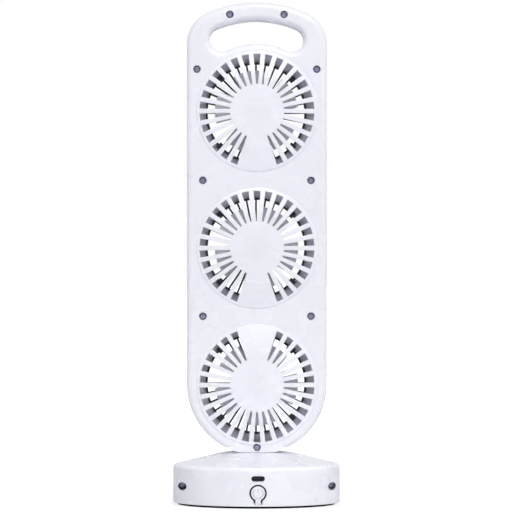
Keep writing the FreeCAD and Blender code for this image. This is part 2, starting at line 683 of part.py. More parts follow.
def inlet_dome(body, fan):
    """A raised air inlet: a flat disc and round it a slope on a sphere."""
    disc = size("disc_radius")
    face = -size("disc_face")
    back = face + size("dome_wall")
    step_y = -(size("half_depth") + size("dome_step"))
    under_y = step_y + size("dome_wall")
    wall_y = -(size("half_depth") - size("shell_wall"))
    ease = size("dome_ease")
    rim = size("dome_radius")
    edge_radius = rim - ease
    lap = rim - size("dome_lap")
    outer_centre = face + ((edge_radius ** 2 - disc ** 2) / (step_y - face) + (step_y - face)) / 2
    inner_centre = back + ((lap ** 2 - disc ** 2) / (under_y - back) + (under_y - back)) / 2
    pi = math.pi

    def slope_arc(centre, near_y, near_radius, far_y, far_radius):
        start = pi - math.atan2(far_radius, centre - far_y)
        end = pi - math.atan2(near_radius, centre - near_y)
        return arc(centre, 0, math.hypot(centre - near_y, near_radius), start, end)

    form = new_sketch(body, f"{fan}_dome", "YZ_Plane", up=fan_height(fan))
    form.addGeometry([
        Part.LineSegment(Vector(face, 0, 0), Vector(face, disc, 0)),
        slope_arc(outer_centre, face, disc, step_y, edge_radius),
        Part.LineSegment(Vector(step_y, edge_radius, 0), Vector(step_y + ease, rim, 0)),
        Part.LineSegment(Vector(step_y + ease, rim, 0), Vector(wall_y, rim, 0)),
        Part.LineSegment(Vector(wall_y, rim, 0), Vector(wall_y, lap, 0)),
        Part.LineSegment(Vector(wall_y, lap, 0), Vector(under_y, lap, 0)),
        slope_arc(inner_centre, back, disc, under_y, lap),
        Part.LineSegment(Vector(back, disc, 0), Vector(back, 0, 0)),
        Part.LineSegment(Vector(back, 0, 0), Vector(face, 0, 0)),
    ], False)
    flat, slope, chamfer, step, edge, lip, inside, under, middle = range(9)
    form.addConstraint([
        Condition("Coincident", flat, 2, slope, 2),
        Condition("Coincident", slope, 1, chamfer, 1),
        Condition("Coincident", chamfer, 2, step, 1),
        Condition("Coincident", step, 2, edge, 1),
        Condition("Coincident", edge, 2, lip, 1),
        Condition("Coincident", lip, 2, inside, 1),
        Condition("Coincident", inside, 2, under, 1),
        Condition("Coincident", under, 2, middle, 1),
        Condition("Coincident", middle, 2, flat, 1),
        Condition("PointOnObject", slope, 3, -1),
        Condition("PointOnObject", inside, 3, -1),
    ])
    place_point(form, flat, 1, "-disc_face", "0")
    place_point(form, flat, 2, "-disc_face", "disc_radius")
    place_point(form, chamfer, 1, "-(half_depth + dome_step)", "dome_radius - dome_ease")
    place_point(form, step, 1, "dome_ease - half_depth - dome_step", "dome_radius")
    place_point(form, step, 2, f"-({INNER_FACE})", "dome_radius")
    place_point(form, edge, 2, f"-({INNER_FACE})", "dome_radius - dome_lap")
    place_point(form, lip, 2, "dome_wall - half_depth - dome_step", "dome_radius - dome_lap")
    place_point(form, under, 1, "dome_wall - disc_face", "disc_radius")
    place_point(form, under, 2, "dome_wall - disc_face", "0")
    return revolve(body, form, "H_Axis")


def inlet_slots(body, fan, middle_angle):
    """The ring of slots, which leaves one closed sector."""
    spacing = size("slot_spacing")
    slot = new_sketch(body, f"{fan}_slot", "XZ_Plane", up=fan_height(fan),
                      turn=middle_angle + 2 * spacing - 90)
    polygon(slot, [
        ("-slot_inside / 2", "slot_start"),
        ("slot_inside / 2", "slot_start"),
        ("slot_outside / 2", "slot_reach"),
        ("-slot_outside / 2", "slot_reach"),
    ])
    first_slot = pocket(body, slot)
    open_angle = 360 - 4 * spacing
    polar(body, [first_slot], slot, open_angle / spacing + 1, open_angle)


def motor_seats(body):
    """The motors' cups, each with its ledge, its two screw bosses and a notch for the lead."""
    start = "disc_face - dome_wall + lap"
    cup_radius = "motor_radius + motor_gap + cup_wall"
    heights = [fan_height(fan) for fan in FANS]
    sides = [(x, height) for height in heights for x in ("motor_screw_x", "-motor_screw_x")]
    cups = new_sketch(body, "motor_cups", "XZ_Plane", off=start)
    circles(cups, [("0", height, cup_radius) for height in heights])
    circles(cups, [("0", height, "motor_radius + motor_gap") for height in heights])
    pad(body, cups, "cup_length + lap", backwards=True)
    ledges = new_sketch(body, "motor_ledges", "XZ_Plane", off=start)
    circles(ledges, [("0", height, "motor_radius + motor_gap + lap") for height in heights])
    circles(ledges, [("0", height, "motor_radius - ledge_width") for height in heights])
    pad(body, ledges, "motor_ledge + lap", backwards=True)
    bosses = new_sketch(body, "motor_bosses", "XZ_Plane", off=start)
    circles(bosses, [(x, height, "motor_boss_radius") for x, height in sides])
    pad(body, bosses, "motor_ledge + motor_length + lap", backwards=True)
    pilots = new_sketch(body, "motor_pilots", "XZ_Plane", off=MOTOR_FRONT)
    circles(pilots, [(x, height, "small_shank + screw_gap") for x, height in sides])
    pocket(body, pilots, "small_screw_reach + lap", backwards=True)
    notches = new_sketch(body, "lead_notches", "XZ_Plane", off=MOTOR_BACK + " - over")
    half = "motor_lead + notch_gap"
    for fan in FANS:
        way = "+" if fan == "bottom" else "-"
        near = f"{fan_height(fan)} {way} (motor_radius - notch_depth)"
        far = f"{fan_height(fan)} {way} ({cup_radius} + lap)"
        polygon(notches, [(f"-({half})", near), (half, near), (half, far), (f"-({half})", far)])
    pocket(body, notches, "motor_ledge + over", backwards=True)


def make_tower_rear_shell():
    body = new_body("tower_rear_shell")
    hollow_shell(body, forwards=False)
    inlet_holes(body)
    for fan in FANS:
        inlet_dome(body, fan)
    motor_seats(body)
    bosses = new_sketch(body, "rear_bosses", "XZ_Plane", off=INNER_FACE + " + lap")
    circles(bosses, [(x, z, BOSS_RADIUS) for x, z in SIDE_SCREWS])
    pad(body, bosses, INNER_FACE + " + lap", backwards=True)
    neck_boss = new_sketch(body, "neck_boss", "XZ_Plane", off=INNER_FACE + " + lap")
    polygon(neck_boss, [
        ("-neck_boss_half", "tower_bottom + lap"),
        ("neck_boss_half", "tower_bottom + lap"),
        ("neck_boss_half", "neck_screw_z + neck_boss_rise"),
        ("-neck_boss_half", "neck_screw_z + neck_boss_rise"),
    ])
    pad(body, neck_boss, "shell_wall + lap", backwards=True)
    neck_opening(body)
    relief = new_sketch(body, "neck_boss_room", "XY_Plane", off="tower_bottom - over")
    polygon(relief, [
        ("-neck_screw_boss - guard_gap", "-(half_depth - 2 * shell_wall - boss_room)"),
        ("neck_screw_boss + guard_gap", "-(half_depth - 2 * shell_wall - boss_room)"),
        ("neck_screw_boss + guard_gap", "over"),
        ("-neck_screw_boss - guard_gap", "over"),
    ])
    pocket(body, relief, "shell_wall + over + block_gap", backwards=True)
    recess = new_sketch(body, "head_recesses", "XZ_Plane", off="disc_face")
    circles(recess, [(x, z, "tower_head_radius + recess_gap") for x, z in TOWER_SCREWS])
    pocket(body, recess, "disc_face - half_depth + tower_head_sink + tower_head_height")
    holes = new_sketch(body, "thread_holes", "XZ_Plane", off="half_depth")
    circles(holes, [(x, z, "tower_shank + head_gap") for x, z in TOWER_SCREWS])
    pocket(body, holes, "half_depth + over")
    for fan in FANS:
        inlet_slots(body, fan, 90.0 if fan == "bottom" else 270.0)


def make_tower_front_shell():
    body = new_body("tower_front_shell")
    hollow_shell(body, forwards=True)
    outlets = new_sketch(body, "outlets", "XZ_Plane")
    circles(outlets, [("0", fan_height(fan), "outlet_radius") for fan in FANS])
    pocket(body, outlets)
    bosses = new_sketch(body, "front_bosses", "XZ_Plane", off=f"-({INNER_FACE} + lap)")
    circles(bosses, [(x, z, BOSS_RADIUS) for x, z in SIDE_SCREWS])
    pad(body, bosses, INNER_FACE + " + lap")
    neck_opening(body)
    pilots = new_sketch(body, "front_pilots", "XZ_Plane")
    circles(pilots, [(x, z, "tower_shank + screw_gap") for x, z in SIDE_SCREWS])
    pocket(body, pilots, "tower_screw_reach + over")


def make_tower_screws():
    items = []
    for number, (x, z) in enumerate(TOWER_SCREWS, start=1):
        reach = f"{HEAD_SEAT} + tower_screw_reach"
        if x == "0":
            reach = "neck_screw_reach + over"
        seat = (x, f"-({HEAD_SEAT})", z)
        items.append(screw(f"tower_screw{number}", seat, "y", "tower_head_radius",
                           "tower_head_height", "tower_shank", reach))
    keep(group("tower_screws_group", items), "tower_screws")


def make_front_guard(fan):
    """A guard that snaps into the front shell with four hooks."""
    body = new_body(f"front_guard_{fan}")
    sleeve = new_sketch(body, f"{fan}_guard_rim", "YZ_Plane")
    back = "half_depth - guard_reach"
    flange = "half_depth + guard_flange_height"
    inside = "outlet_radius - guard_gap - guard_sleeve"
    polygon(sleeve, [
        (back, inside),
        (back, "outlet_radius - guard_gap"),
        ("half_depth", "outlet_radius - guard_gap"),
        ("half_depth", "guard_flange"),
        (flange + " - guard_chamfer", "guard_flange"),
        (flange, "guard_flange - guard_chamfer"),
        (flange, inside),
    ])
    revolve(body, sleeve, "H_Axis")
    rib = new_sketch(body, f"{fan}_guard_bar", "YZ_Plane")
    polygon(rib, [
        ("guard_face - bar_drop - guard_bar", "guard_cap - 2 * over"),
        ("guard_face - bar_drop", "guard_cap - 2 * over"),
        ("guard_face - bar_bow", "(guard_cap + outlet_radius) / 2"),
        (flange, inside + " + lap"),
        (flange + " - guard_bar", inside + " + lap"),
        ("guard_face - bar_bow - guard_bar", "(guard_cap + outlet_radius) / 2"),
    ])
    bar = pad(body, rib, "guard_bar_width", both=True)
    middle = new_sketch(body, f"{fan}_guard_middle", "XZ_Plane")
    circles(middle, [("0", "0", "1")])
    polar(body, [bar], middle, size("guard_bars"))
    cap = new_sketch(body, f"{fan}_guard_cap", "YZ_Plane")
    polygon(cap, [
        ("guard_face - bar_drop - guard_bar", "0"),
        ("guard_face - bar_drop - guard_bar", "guard_cap"),
        ("guard_face - bar_drop", "guard_cap"),
        ("guard_face", "guard_cap - cap_chamfer"),
        ("guard_face", "0"),
    ])
    revolve(body, cap, "H_Axis")
    hook = new_sketch(body, f"{fan}_guard_hook", "XZ_Plane", off=f"-({back})", turn=45.0)
    polygon(hook, [
        ("hook_inside", "-hook_width / 2"),
        ("hook_outside", "-hook_width / 2"),
        ("hook_outside", "hook_width / 2"),
        ("hook_inside", "hook_width / 2"),
    ])
    plate = pad(body, hook, "guard_reach - shell_wall - hook_gap", backwards=True)
    polar(body, [plate], hook, 4)
    bind(body, "Placement.Base.z", fan_height(fan))


def make_impeller(fan, turn):
    """A hub with swept blades, turned as it stands in the photograph."""
    body = new_body(f"impeller_{fan}")
    hub = new_sketch(body, f"{fan}_hub", "YZ_Plane")
    bore = "shaft_radius + hub_bore_gap"
    polygon(hub, [
        ("hub_back", "hub_radius - hub_wall"),
        ("hub_back", "hub_radius"),
        ("hub_front - hub_chamfer", "hub_radius"),
        ("hub_front", "hub_radius - hub_chamfer"),
        ("hub_front", bore),
        ("hub_back + hub_chamfer", bore),
        ("hub_back + hub_chamfer", "hub_boss"),
        ("hub_front - hub_wall", "hub_boss"),
        ("hub_front - hub_wall", "hub_radius - hub_wall"),
    ])
    revolve(body, hub, "H_Axis")
    sections = []
    stations = (
        ("hub_radius - over", "root_span", "blade_depth", "0"),
        ("(hub_radius + tip_radius) / 2", "(root_span + tip_span) / 2", "blade_depth * 0.96", "middle_sweep"),
        ("tip_radius + tip_over", "tip_span", "blade_depth * 0.84", "tip_sweep"),
    )
    middle_y = "(hub_back + hub_front) / 2"
    for number, (reach, span, depth, sweep) in enumerate(stations):
        station = new_sketch(body, f"{fan}_blade{number}", "YZ_Plane", off=reach)
        low = f"{middle_y} - ({depth}) / 2"
        high = f"{middle_y} + ({depth}) / 2"
        polygon(station, [
            (low, f"({span}) / 2 + {sweep}"),
            (f"{low} + blade_thickness", f"({span}) / 2 + {sweep}"),
            (high, f"-({span}) / 2 + {sweep}"),
            (f"{high} - blade_thickness", f"-({span}) / 2 + {sweep}"),
        ])
        sections.append(station)
    blade = body.newObject("PartDesign::AdditiveLoft", f"{fan}_blade")
    blade.Profile = sections[0]
    blade.Sections = sections[1:]
    blade.Ruled = False
    middle = new_sketch(body, f"{fan}_hub_middle", "XZ_Plane")
    circles(middle, [("0", "0", "1")])
    polar(body, [blade], middle, size("blades"))
    trim = new_sketch(body, f"{fan}_tips", "XZ_Plane")
    circles(trim, [("0", "0", "2 * tip_radius"), ("0", "0", "tip_radius")])
    pocket(body, trim)
    body.Placement = Placement(Vector(), Rotation(Vector(0, -1, 0), turn))
    bind(body, "Placement.Base.z", fan_height(fan))


def make_motor(fan):
    """A flat direct-current motor: can, end cap, magnets and armature."""
    height = fan_height(fan)
    back = f"-({MOTOR_BACK})"
    front = f"-({MOTOR_FRONT})"
    shaft_hole = "shaft_radius + shaft_gap"
    can = cut(f"{fan}_can", join(f"{fan}_can_form", [
        cylinder(f"{fan}_can_wall", "motor_radius", "motor_length - cap_thickness",
                 ("0", back + " + cap_thickness", height), "y"),
        cylinder(f"{fan}_can_boss", "bearing_radius", "bearing_length + can_wall / 2",
                 ("0", front + " - can_wall / 2", height), "y"),
    ]), [
        cylinder(f"{fan}_can_hollow", "motor_radius - can_wall",
                 "motor_length - cap_thickness - can_wall",
                 ("0", back + " + cap_thickness", height), "y"),
        cylinder(f"{fan}_can_bore", shaft_hole, "can_wall + bearing_length + 2 * over",
                 ("0", front + " - can_wall - over", height), "y"),
    ])
    keep(can, f"motor_can_{fan}")
    cap = cut(f"{fan}_cap", join(f"{fan}_cap_form", [
        cylinder(f"{fan}_cap_rim", "motor_radius", "cap_thickness", ("0", back, height), "y"),
        cylinder(f"{fan}_cap_plug", "motor_radius - can_wall - slip", "cap_thickness + cap_plug",
                 ("0", back, height), "y"),
    ]), [
        cylinder(f"{fan}_cap_bore", shaft_hole, "cap_thickness + cap_plug",
                 ("0", back + " + cap_thickness / 2", height), "y"),
    ])
    keep(cap, f"motor_cap_{fan}")
    ring = cut(f"{fan}_magnet_ring", cylinder(
        f"{fan}_magnet_out", "motor_radius - can_wall - slip", "magnet_length",
        ("0", front + " - can_wall - guard_gap - magnet_length", height), "y"), [
        cylinder(f"{fan}_magnet_in", "magnet_inside", "motor_length",
                 ("0", back, height), "y"),
        box(f"{fan}_magnet_split", ("magnet_split", "motor_length", "3 * motor_radius"),
            ("-magnet_split / 2", back, height + " - 1.5 * motor_radius")),
    ])
    keep(ring, f"motor_magnets_{fan}")
    armature_at = front + " - can_wall - spacer_length - spacer_gap - armature_length"
    rotor = join(f"{fan}_rotor", [
        cylinder(f"{fan}_shaft", "shaft_radius", f"hub_front - shaft_short - ({back} + cap_thickness)",
                 ("0", back + " + cap_thickness", height), "y"),
        cylinder(f"{fan}_armature", "armature_radius", "armature_length",
                 ("0", armature_at, height), "y"),
        cylinder(f"{fan}_commutator", "commutator_radius", "commutator_length + lap",
                 ("0", armature_at + " - commutator_length", height), "y"),
        cylinder(f"{fan}_spacer", "spacer_radius", "spacer_length",
                 ("0", armature_at + " + armature_length", height), "y"),
    ])
    keep(rotor, f"motor_rotor_{fan}")


def make_motor_bracket(fan):
    height = fan_height(fan)
    front = f"-({MOTOR_FRONT})"
    plate = [
        cylinder(f"{fan}_bracket_disc", "motor_radius", "bracket_thickness", ("0", front, height), "y"),
        box(f"{fan}_bracket_bar", ("2 * motor_screw_x", "bracket_thickness", "2 * motor_boss_radius"),
            ("-motor_screw_x", front, height + " - motor_boss_radius")),
    ]
    holes = [cylinder(f"{fan}_bracket_bore", "bearing_radius + guard_gap", "bracket_thickness + 2 * over",
                      ("0", front + " - over", height), "y")]
    for side in ("", "-"):
        name = f"{fan}_bracket_{'left' if side else 'right'}"
        place = (side + "motor_screw_x", front, height)
        plate.append(cylinder(name, "motor_boss_radius", "bracket_thickness", place, "y"))
        hole_at = (side + "motor_screw_x", front + " - over", height)
        holes.append(cylinder(name + "_hole", "small_shank + head_gap", "bracket_thickness + 2 * over",
                              hole_at, "y"))
    keep(cut(f"{fan}_bracket", join(f"{fan}_bracket_form", plate), holes), f"motor_bracket_{fan}")


def make_motor_screws():
    items = []
    for fan in FANS:
        for side in ("", "-"):
            seat = (side + "motor_screw_x", f"-({MOTOR_FRONT}) + bracket_thickness", fan_height(fan))
            name = f"{fan}_motor_screw_{'left' if side else 'right'}"
            items.append(screw(name, seat, "-y", "small_head_radius", "small_head_height",
                               "small_shank", "small_screw_reach"))
    keep(group("motor_screws_group", items), "motor_screws")


def make_neck():
    """The hollow neck: a block in the tower, a bearing and a flange in the base."""
    flange_low = "crest_height - shell_wall - neck_seat_gap - neck_flange_height"
    block_low = "tower_bottom + shell_wall + block_gap"
    boss_y = "-(half_depth - 2 * shell_wall - boss_gap)"
    form = join("neck_form", [
        box("neck_block", ("2 * neck_block_x", f"{INNER_FACE} - guard_gap - ({boss_y})", "neck_block_height"),
            ("-neck_block_x", boss_y, block_low)),
        cylinder("neck_tube", "neck_radius", f"{block_low} + over - ({flange_low})", ("0", "0", flange_low)),
        cylinder("neck_flange_disc", "neck_flange", "neck_flange_height", ("0", "0", flange_low)),
        box("neck_lug", ("2 * lug_half", "lug_reach - neck_bore - over", "neck_flange_height"),
            ("-lug_half", "neck_bore + over", flange_low)),
        cylinder("neck_boss_rod", "neck_screw_boss", f"-({boss_y}) - neck_bore",
                 ("0", boss_y, "neck_screw_z"), "y"),
    ])
    neck = cut("neck_whole", form, [
        cylinder("neck_hollow", "neck_bore", "crest_height", ("0", "0", flange_low + " - over")),
        cylinder("neck_pilot", "tower_shank + screw_gap", "neck_screw_reach",
                 ("0", boss_y + " - lap", "neck_screw_z"), "y"),
    ])
    keep(neck, "neck")


# The base

CONE_RISE = "(crest_height - shoulder_height) / (base_radius - crest_radius)"


def cone_height(radius):
    """The height of the base's cone above a radius, as an expression."""
    return f"(shoulder_height + (base_radius - ({radius})) * {CONE_RISE})"


def half_base(body, forwards):
    """Half of the round base shell, with its rounded crest and shoulder."""
    form = new_sketch(body, body.Label + "_form", "XZ_Plane")
    bore = "neck_radius + neck_gap"
    polygon(form, [
        (bore, "crest_height"),
        ("crest_radius", "crest_height"),
        ("base_radius", "shoulder_height"),
        ("base_radius", "foot_height"),
        ("base_radius - shell_wall", "foot_height"),
        ("base_radius - shell_wall", "shoulder_height - shell_wall"),
        ("crest_radius", "crest_height - shell_wall"),
        (bore, "crest_height - shell_wall"),
    ])
    shell = revolve(body, form, "V_Axis", 180.0, backwards=not forwards)
    shoulder = size("shoulder_height")
    crest = size("crest_height")
    base_radius = size("base_radius")
    crest_radius = size("crest_radius")

    def is_ring(edge, height, radius):
        bounds = edge.BoundBox
        level = abs(bounds.ZMin - height) < 0.01 and abs(bounds.ZMax - height) < 0.01
        return level and abs(bounds.XMax - radius) < 0.05 and abs(bounds.XMin + radius) < 0.05

    crest_ring = round_edges(body, shell, lambda edge: is_ring(edge, crest, crest_radius), "crest_round")
    round_edges(body, crest_ring, lambda edge: is_ring(edge, shoulder, base_radius), "shoulder_round")


def plate_bosses(body, sign):
    """The two posts that the plate screws hold."""
    posts = new_sketch(body, body.Label + "_posts", "XY_Plane", off="foot_height + plate_thickness")
    centres = [(PLATE_SCREW_X, sign + PLATE_SCREW_Y), ("-" + PLATE_SCREW_X, sign + PLATE_SCREW_Y)]
    circles(posts, [(x, y, "plate_boss_radius") for x, y in centres])
    reach = f"sqrt({PLATE_SCREW_X} ^ 2 + {PLATE_SCREW_Y} ^ 2) + plate_boss_radius"
    pad(body, posts, f"{cone_height(reach)} - shell_wall / 3 - foot_height - plate_thickness")
    pilots = new_sketch(body, body.Label + "_pilots", "XY_Plane", off="foot_height + plate_thickness")
    circles(pilots, [(x, y, "plate_shank + screw_gap") for x, y in centres])
    pocket(body, pilots, "plate_screw_length", backwards=True)


def trim_outside(body):
    """Cut off what a boss leaves outside the base's round wall."""
    trim = new_sketch(body, body.Label + "_trim", "XZ_Plane")
    polygon(trim, [
        ("base_radius", "foot_height + over"),
        ("base_radius * 1.5", "foot_height + over"),
        ("base_radius * 1.5", "shoulder_height - shoulder_round - lap"),
        ("base_radius", "shoulder_height - shoulder_round - lap"),
    ])
    revolve(body, trim, "V_Axis", cut=True)


def make_base_rear_shell():
    body = new_body("base_rear_shell")
    half_base(body, forwards=False)
    plate_bosses(body, "-")
    centres = [(BASE_SCREW_X, "base_screw_z"), ("-" + BASE_SCREW_X, "base_screw_z")]
    tubes = new_sketch(body, "rear_base_bosses", "XZ_Plane")
    circles(tubes, [(x, z, "base_boss_radius") for x, z in centres])
    pad(body, tubes, "base_radius / 2")
    posts = new_sketch(body, "board_posts", "XZ_Plane", off=BOARD_FACE)
    circles(posts, [("board_screw_x", "board_screw_z", "board_post_radius"),
                    ("-board_screw_x", "board_screw_z", "board_post_radius")])
    pad(body, posts, "board_inset - post_inset")
    trim_outside(body)
    recess = new_sketch(body, "base_head_recesses", "XZ_Plane", off="base_seat")
    circles(recess, [(x, z, "base_head_radius + recess_gap") for x, z in centres])
    pocket(body, recess, "base_radius", backwards=True)
    holes = new_sketch(body, "base_thread_holes", "XZ_Plane")
    circles(holes, [(x, z, "tower_shank + head_gap") for x, z in centres])
    pocket(body, holes, "base_seat + over", backwards=True)
    pilots = new_sketch(body, "board_pilots", "XZ_Plane", off=BOARD_FACE)
    circles(pilots, [("board_screw_x", "board_screw_z", "small_shank + screw_gap"),
                     ("-board_screw_x", "board_screw_z", "small_shank + screw_gap")])
    pocket(body, pilots, "small_screw_reach", backwards=True)
    button = new_sketch(body, "button_room", "XZ_Plane", off=BOARD_FACE)
    circles(button, [("0", "button_height", "button_radius + button_slot")])
    pocket(body, button, "base_radius", backwards=True)
    strip = new_sketch(body, "button_strip_room", "XZ_Plane", off=BOARD_FACE)
    polygon(strip, [
        ("-button_neck - button_slot", "button_root"),
        ("button_neck + button_slot", "button_root"),
        ("button_neck + button_slot", "button_height"),
        ("-button_neck - button_slot", "button_height"),
    ])
    pocket(body, strip, "base_radius", backwards=True)
    mouth = new_sketch(body, "usb_opening", "XZ_Plane", off=BOARD_FACE)
    stadium(mouth, "usb_width + 2 * usb_gap", "usb_thickness + 2 * usb_gap", "usb_height")
    pocket(body, mouth, "base_radius", backwards=True)


def stadium(sketch, width, height, level):
    """A slot with round ends, level, on the sketch's middle line."""
    half = (size("usb_width") - size("usb_thickness")) / 2
    radius = size("usb_thickness") / 2
    z = size("usb_height")
    first = sketch.GeometryCount
    pi = math.pi
    sketch.addGeometry([
        Part.LineSegment(Vector(-half, z - radius, 0), Vector(half, z - radius, 0)),
        arc(half, z, radius, -pi / 2, pi / 2),
        Part.LineSegment(Vector(half, z + radius, 0), Vector(-half, z + radius, 0)),
        arc(-half, z, radius, pi / 2, 3 * pi / 2),
    ], False)
    low, right, high, left = range(first, first + 4)
    sketch.addConstraint([
        Condition("Tangent", low, 2, right, 1),
        Condition("Tangent", right, 2, high, 1),
        Condition("Tangent", high, 2, left, 1),
        Condition("Tangent", left, 2, low, 1),
        Condition("Horizontal", low),
        Condition("Horizontal", high),
    ])
    dimension(sketch, Condition("Radius", right, radius), f"({height}) / 2")
    dimension(sketch, Condition("DistanceX", -1, 1, right, 3, half), f"(({width}) - ({height})) / 2")
    dimension(sketch, Condition("DistanceX", -1, 1, left, 3, -half), f"-(({width}) - ({height})) / 2")
    dimension(sketch, Condition("DistanceY", -1, 1, right, 3, z), level)


def make_base_front_shell():
    body = new_body("base_front_shell")
    half_base(body, forwards=True)
    plate_bosses(body, "")
    centres = [(BASE_SCREW_X, "base_screw_z"), ("-" + BASE_SCREW_X, "base_screw_z")]
    tubes = new_sketch(body, "front_base_bosses", "XZ_Plane")
    circles(tubes, [(x, z, "base_boss_radius") for x, z in centres])
    pad(body, tubes, "1.5 * base_screw_reach", backwards=True)
    for name, sign in (("right", -1), ("left", 1)):
        stop = new_sketch(body, f"{name}_stop", "XY_Plane",
                          off="crest_height - shell_wall - neck_seat_gap - neck_flange_height + lap",
                          turn=sign * size("swivel_limit"))
        near = "lug_half + stop_gap"
        far = "lug_half + stop_gap + stop_width"
        left = f"-({far})" if sign > 0 else near
        right = f"-({near})" if sign > 0 else far
        polygon(stop, [
            (left, "neck_flange + lap"),
            (right, "neck_flange + lap"),
            (right, "lug_reach + lap"),
            (left, "lug_reach + lap"),
        ])
        pad(body, stop, "neck_flange_height + neck_seat_gap")
    trim_outside(body)
    pilots = new_sketch(body, "front_base_pilots", "XZ_Plane")
    circles(pilots, [(x, z, "tower_shank + screw_gap") for x, z in centres])
    pocket(body, pilots, "base_screw_reach + over")


def make_base_screws():
    items = []
    for number, side in enumerate(("", "-"), start=1):
        seat = (side + BASE_SCREW_X, "-base_seat", "base_screw_z")
        items.append(screw(f"base_screw{number}", seat, "y", "base_head_radius", "base_head_height",
                           "tower_shank", "base_seat + base_screw_reach"))
    keep(group("base_screws_group", items), "base_screws")


PLATE_CENTRES = [
    (PLATE_SCREW_X, PLATE_SCREW_Y),
    (PLATE_SCREW_X, "-" + PLATE_SCREW_Y),
    ("-" + PLATE_SCREW_X, PLATE_SCREW_Y),
    ("-" + PLATE_SCREW_X, "-" + PLATE_SCREW_Y),
]


def make_base_plate():
    body = new_body("base_plate")
    disc = new_sketch(body, "plate_disc", "XY_Plane", off="foot_height")
    circles(disc, [("0", "0", "base_radius - shell_wall - plate_gap")])
    pad(body, disc, "plate_thickness")
    recess = new_sketch(body, "plate_recesses", "XY_Plane", off="foot_height")
    circles(recess, [(x, y, "plate_head_radius + head_gap") for x, y in PLATE_CENTRES])
    pocket(body, recess, "plate_head_sink + plate_head_height", backwards=True)
    holes = new_sketch(body, "plate_holes", "XY_Plane")
    circles(holes, [(x, y, "plate_shank + head_gap") for x, y in PLATE_CENTRES])
    pocket(body, holes)


def make_plate_screws():
    items = []
    for number, (x, y) in enumerate(PLATE_CENTRES, start=1):
        seat = (x, y, "foot_height + plate_head_sink + plate_head_height")
        items.append(screw(f"plate_screw{number}", seat, "z", "plate_head_radius", "plate_head_height",
                           "plate_shank", "plate_screw_length"))
    keep(group("plate_screws_group", items), "plate_screws")


def make_rubber_foot():
    body = new_body("rubber_foot")
    ring = new_sketch(body, "foot_ring", "XY_Plane")
    circles(ring, [("0", "0", FOOT_OUTSIDE), ("0", "0", FOOT_INSIDE)])
    pad(body, ring, "foot_height")


TRAY_LOW = "foot_height + plate_thickness"
CELL_AXIS = f"({TRAY_LOW} + tray_floor + cell_radius + cell_gap)"
CELL_DEPTHS = ("cell_near", "(cell_near + cell_pitch)")


def make_battery():
    """Two cells side by side in a tray, welded together with two straps."""
    end = "(cell_length / 2 + strap_thickness + cell_gap)"
    troughs = []
    cells = []
    for number, depth in enumerate(CELL_DEPTHS, start=1):
        troughs.append(cylinder(f"trough{number}", "cell_radius + cell_gap", f"2 * {end}",
                                (f"-{end}", depth, CELL_AXIS), "x"))
        cells.append(cylinder(f"cell{number}", "cell_radius", "cell_length",
                              ("-cell_length / 2", depth, CELL_AXIS), "x"))
    block = box("tray_block",
                (f"2 * {end} + 2 * tray_wall", "cell_pitch + 2 * cell_radius + 2 * over", "tray_height"),
                (f"-{end} - tray_wall", "cell_near - cell_radius - over", TRAY_LOW))
    keep(cut("tray", block, troughs), "battery_tray")
    keep(group("cells_group", cells), "battery_cells")
    straps = []
    for name, at in (("left", "-cell_length / 2 - strap_thickness"), ("right", "cell_length / 2")):
        straps.append(box(f"strap_{name}", ("strap_thickness", "cell_pitch + 2 * strap_end", "strap_height"),
                          (at, "cell_near - strap_end", f"{CELL_AXIS} - strap_height / 2")))
    keep(group("straps_group", straps), "cell_straps")


def make_board():
    board = box("board_plate", ("2 * board_half_width", "board_thickness", "board_high - board_low"),
                ("-board_half_width", "-" + BOARD_FACE, "board_low"))
    holes = []
    screws = []
    for name, side in (("right", ""), ("left", "-")):
        x = side + "board_screw_x"
        holes.append(cylinder(f"board_hole_{name}", "small_shank + head_gap", "board_thickness + 2 * over",
                              (x, f"-{BOARD_FACE} - over", "board_screw_z"), "y"))
        screws.append(screw(f"board_screw_{name}", (x, f"-{BOARD_FACE} + board_thickness", "board_screw_z"),
                            "-y", "small_head_radius", "small_head_height", "small_shank",
                            "small_screw_reach"))
    keep(cut("board", board, holes), "circuit_board")
    keep(group("board_screws_group", screws), "board_screws")


def make_usb_socket():
    """A charging socket: a rolled steel shell round a moulded block with its tongue."""
    shell = new_body("usb_c_shell")
    outside = new_sketch(shell, "usb_outside", "XZ_Plane", off=BOARD_FACE)
    stadium(outside, "usb_width", "usb_thickness", "usb_height")
    pad(shell, outside, "board_inset - usb_inset")
    inside = new_sketch(shell, "usb_inside", "XZ_Plane")
    stadium(inside, "usb_width - 2 * usb_wall", "usb_thickness - 2 * usb_wall", "usb_height")
    pocket(shell, inside)
    insert = new_body("usb_c_insert")
    back = new_sketch(insert, "usb_back_form", "XZ_Plane", off=BOARD_FACE)
    stadium(back, "usb_width - 2 * usb_wall - 2 * slip", "usb_thickness - 2 * usb_wall - 2 * slip", "usb_height")
    pad(insert, back, "usb_back")
    tongue = new_sketch(insert, "usb_tongue", "XZ_Plane", off=BOARD_FACE)
    polygon(tongue, [
        ("-tongue_width / 2", "usb_height - tongue_thickness / 2"),
        ("tongue_width / 2", "usb_height - tongue_thickness / 2"),
        ("tongue_width / 2", "usb_height + tongue_thickness / 2"),
        ("-tongue_width / 2", "usb_height + tongue_thickness / 2"),
    ])
    pad(insert, tongue, "usb_back + tongue_length")


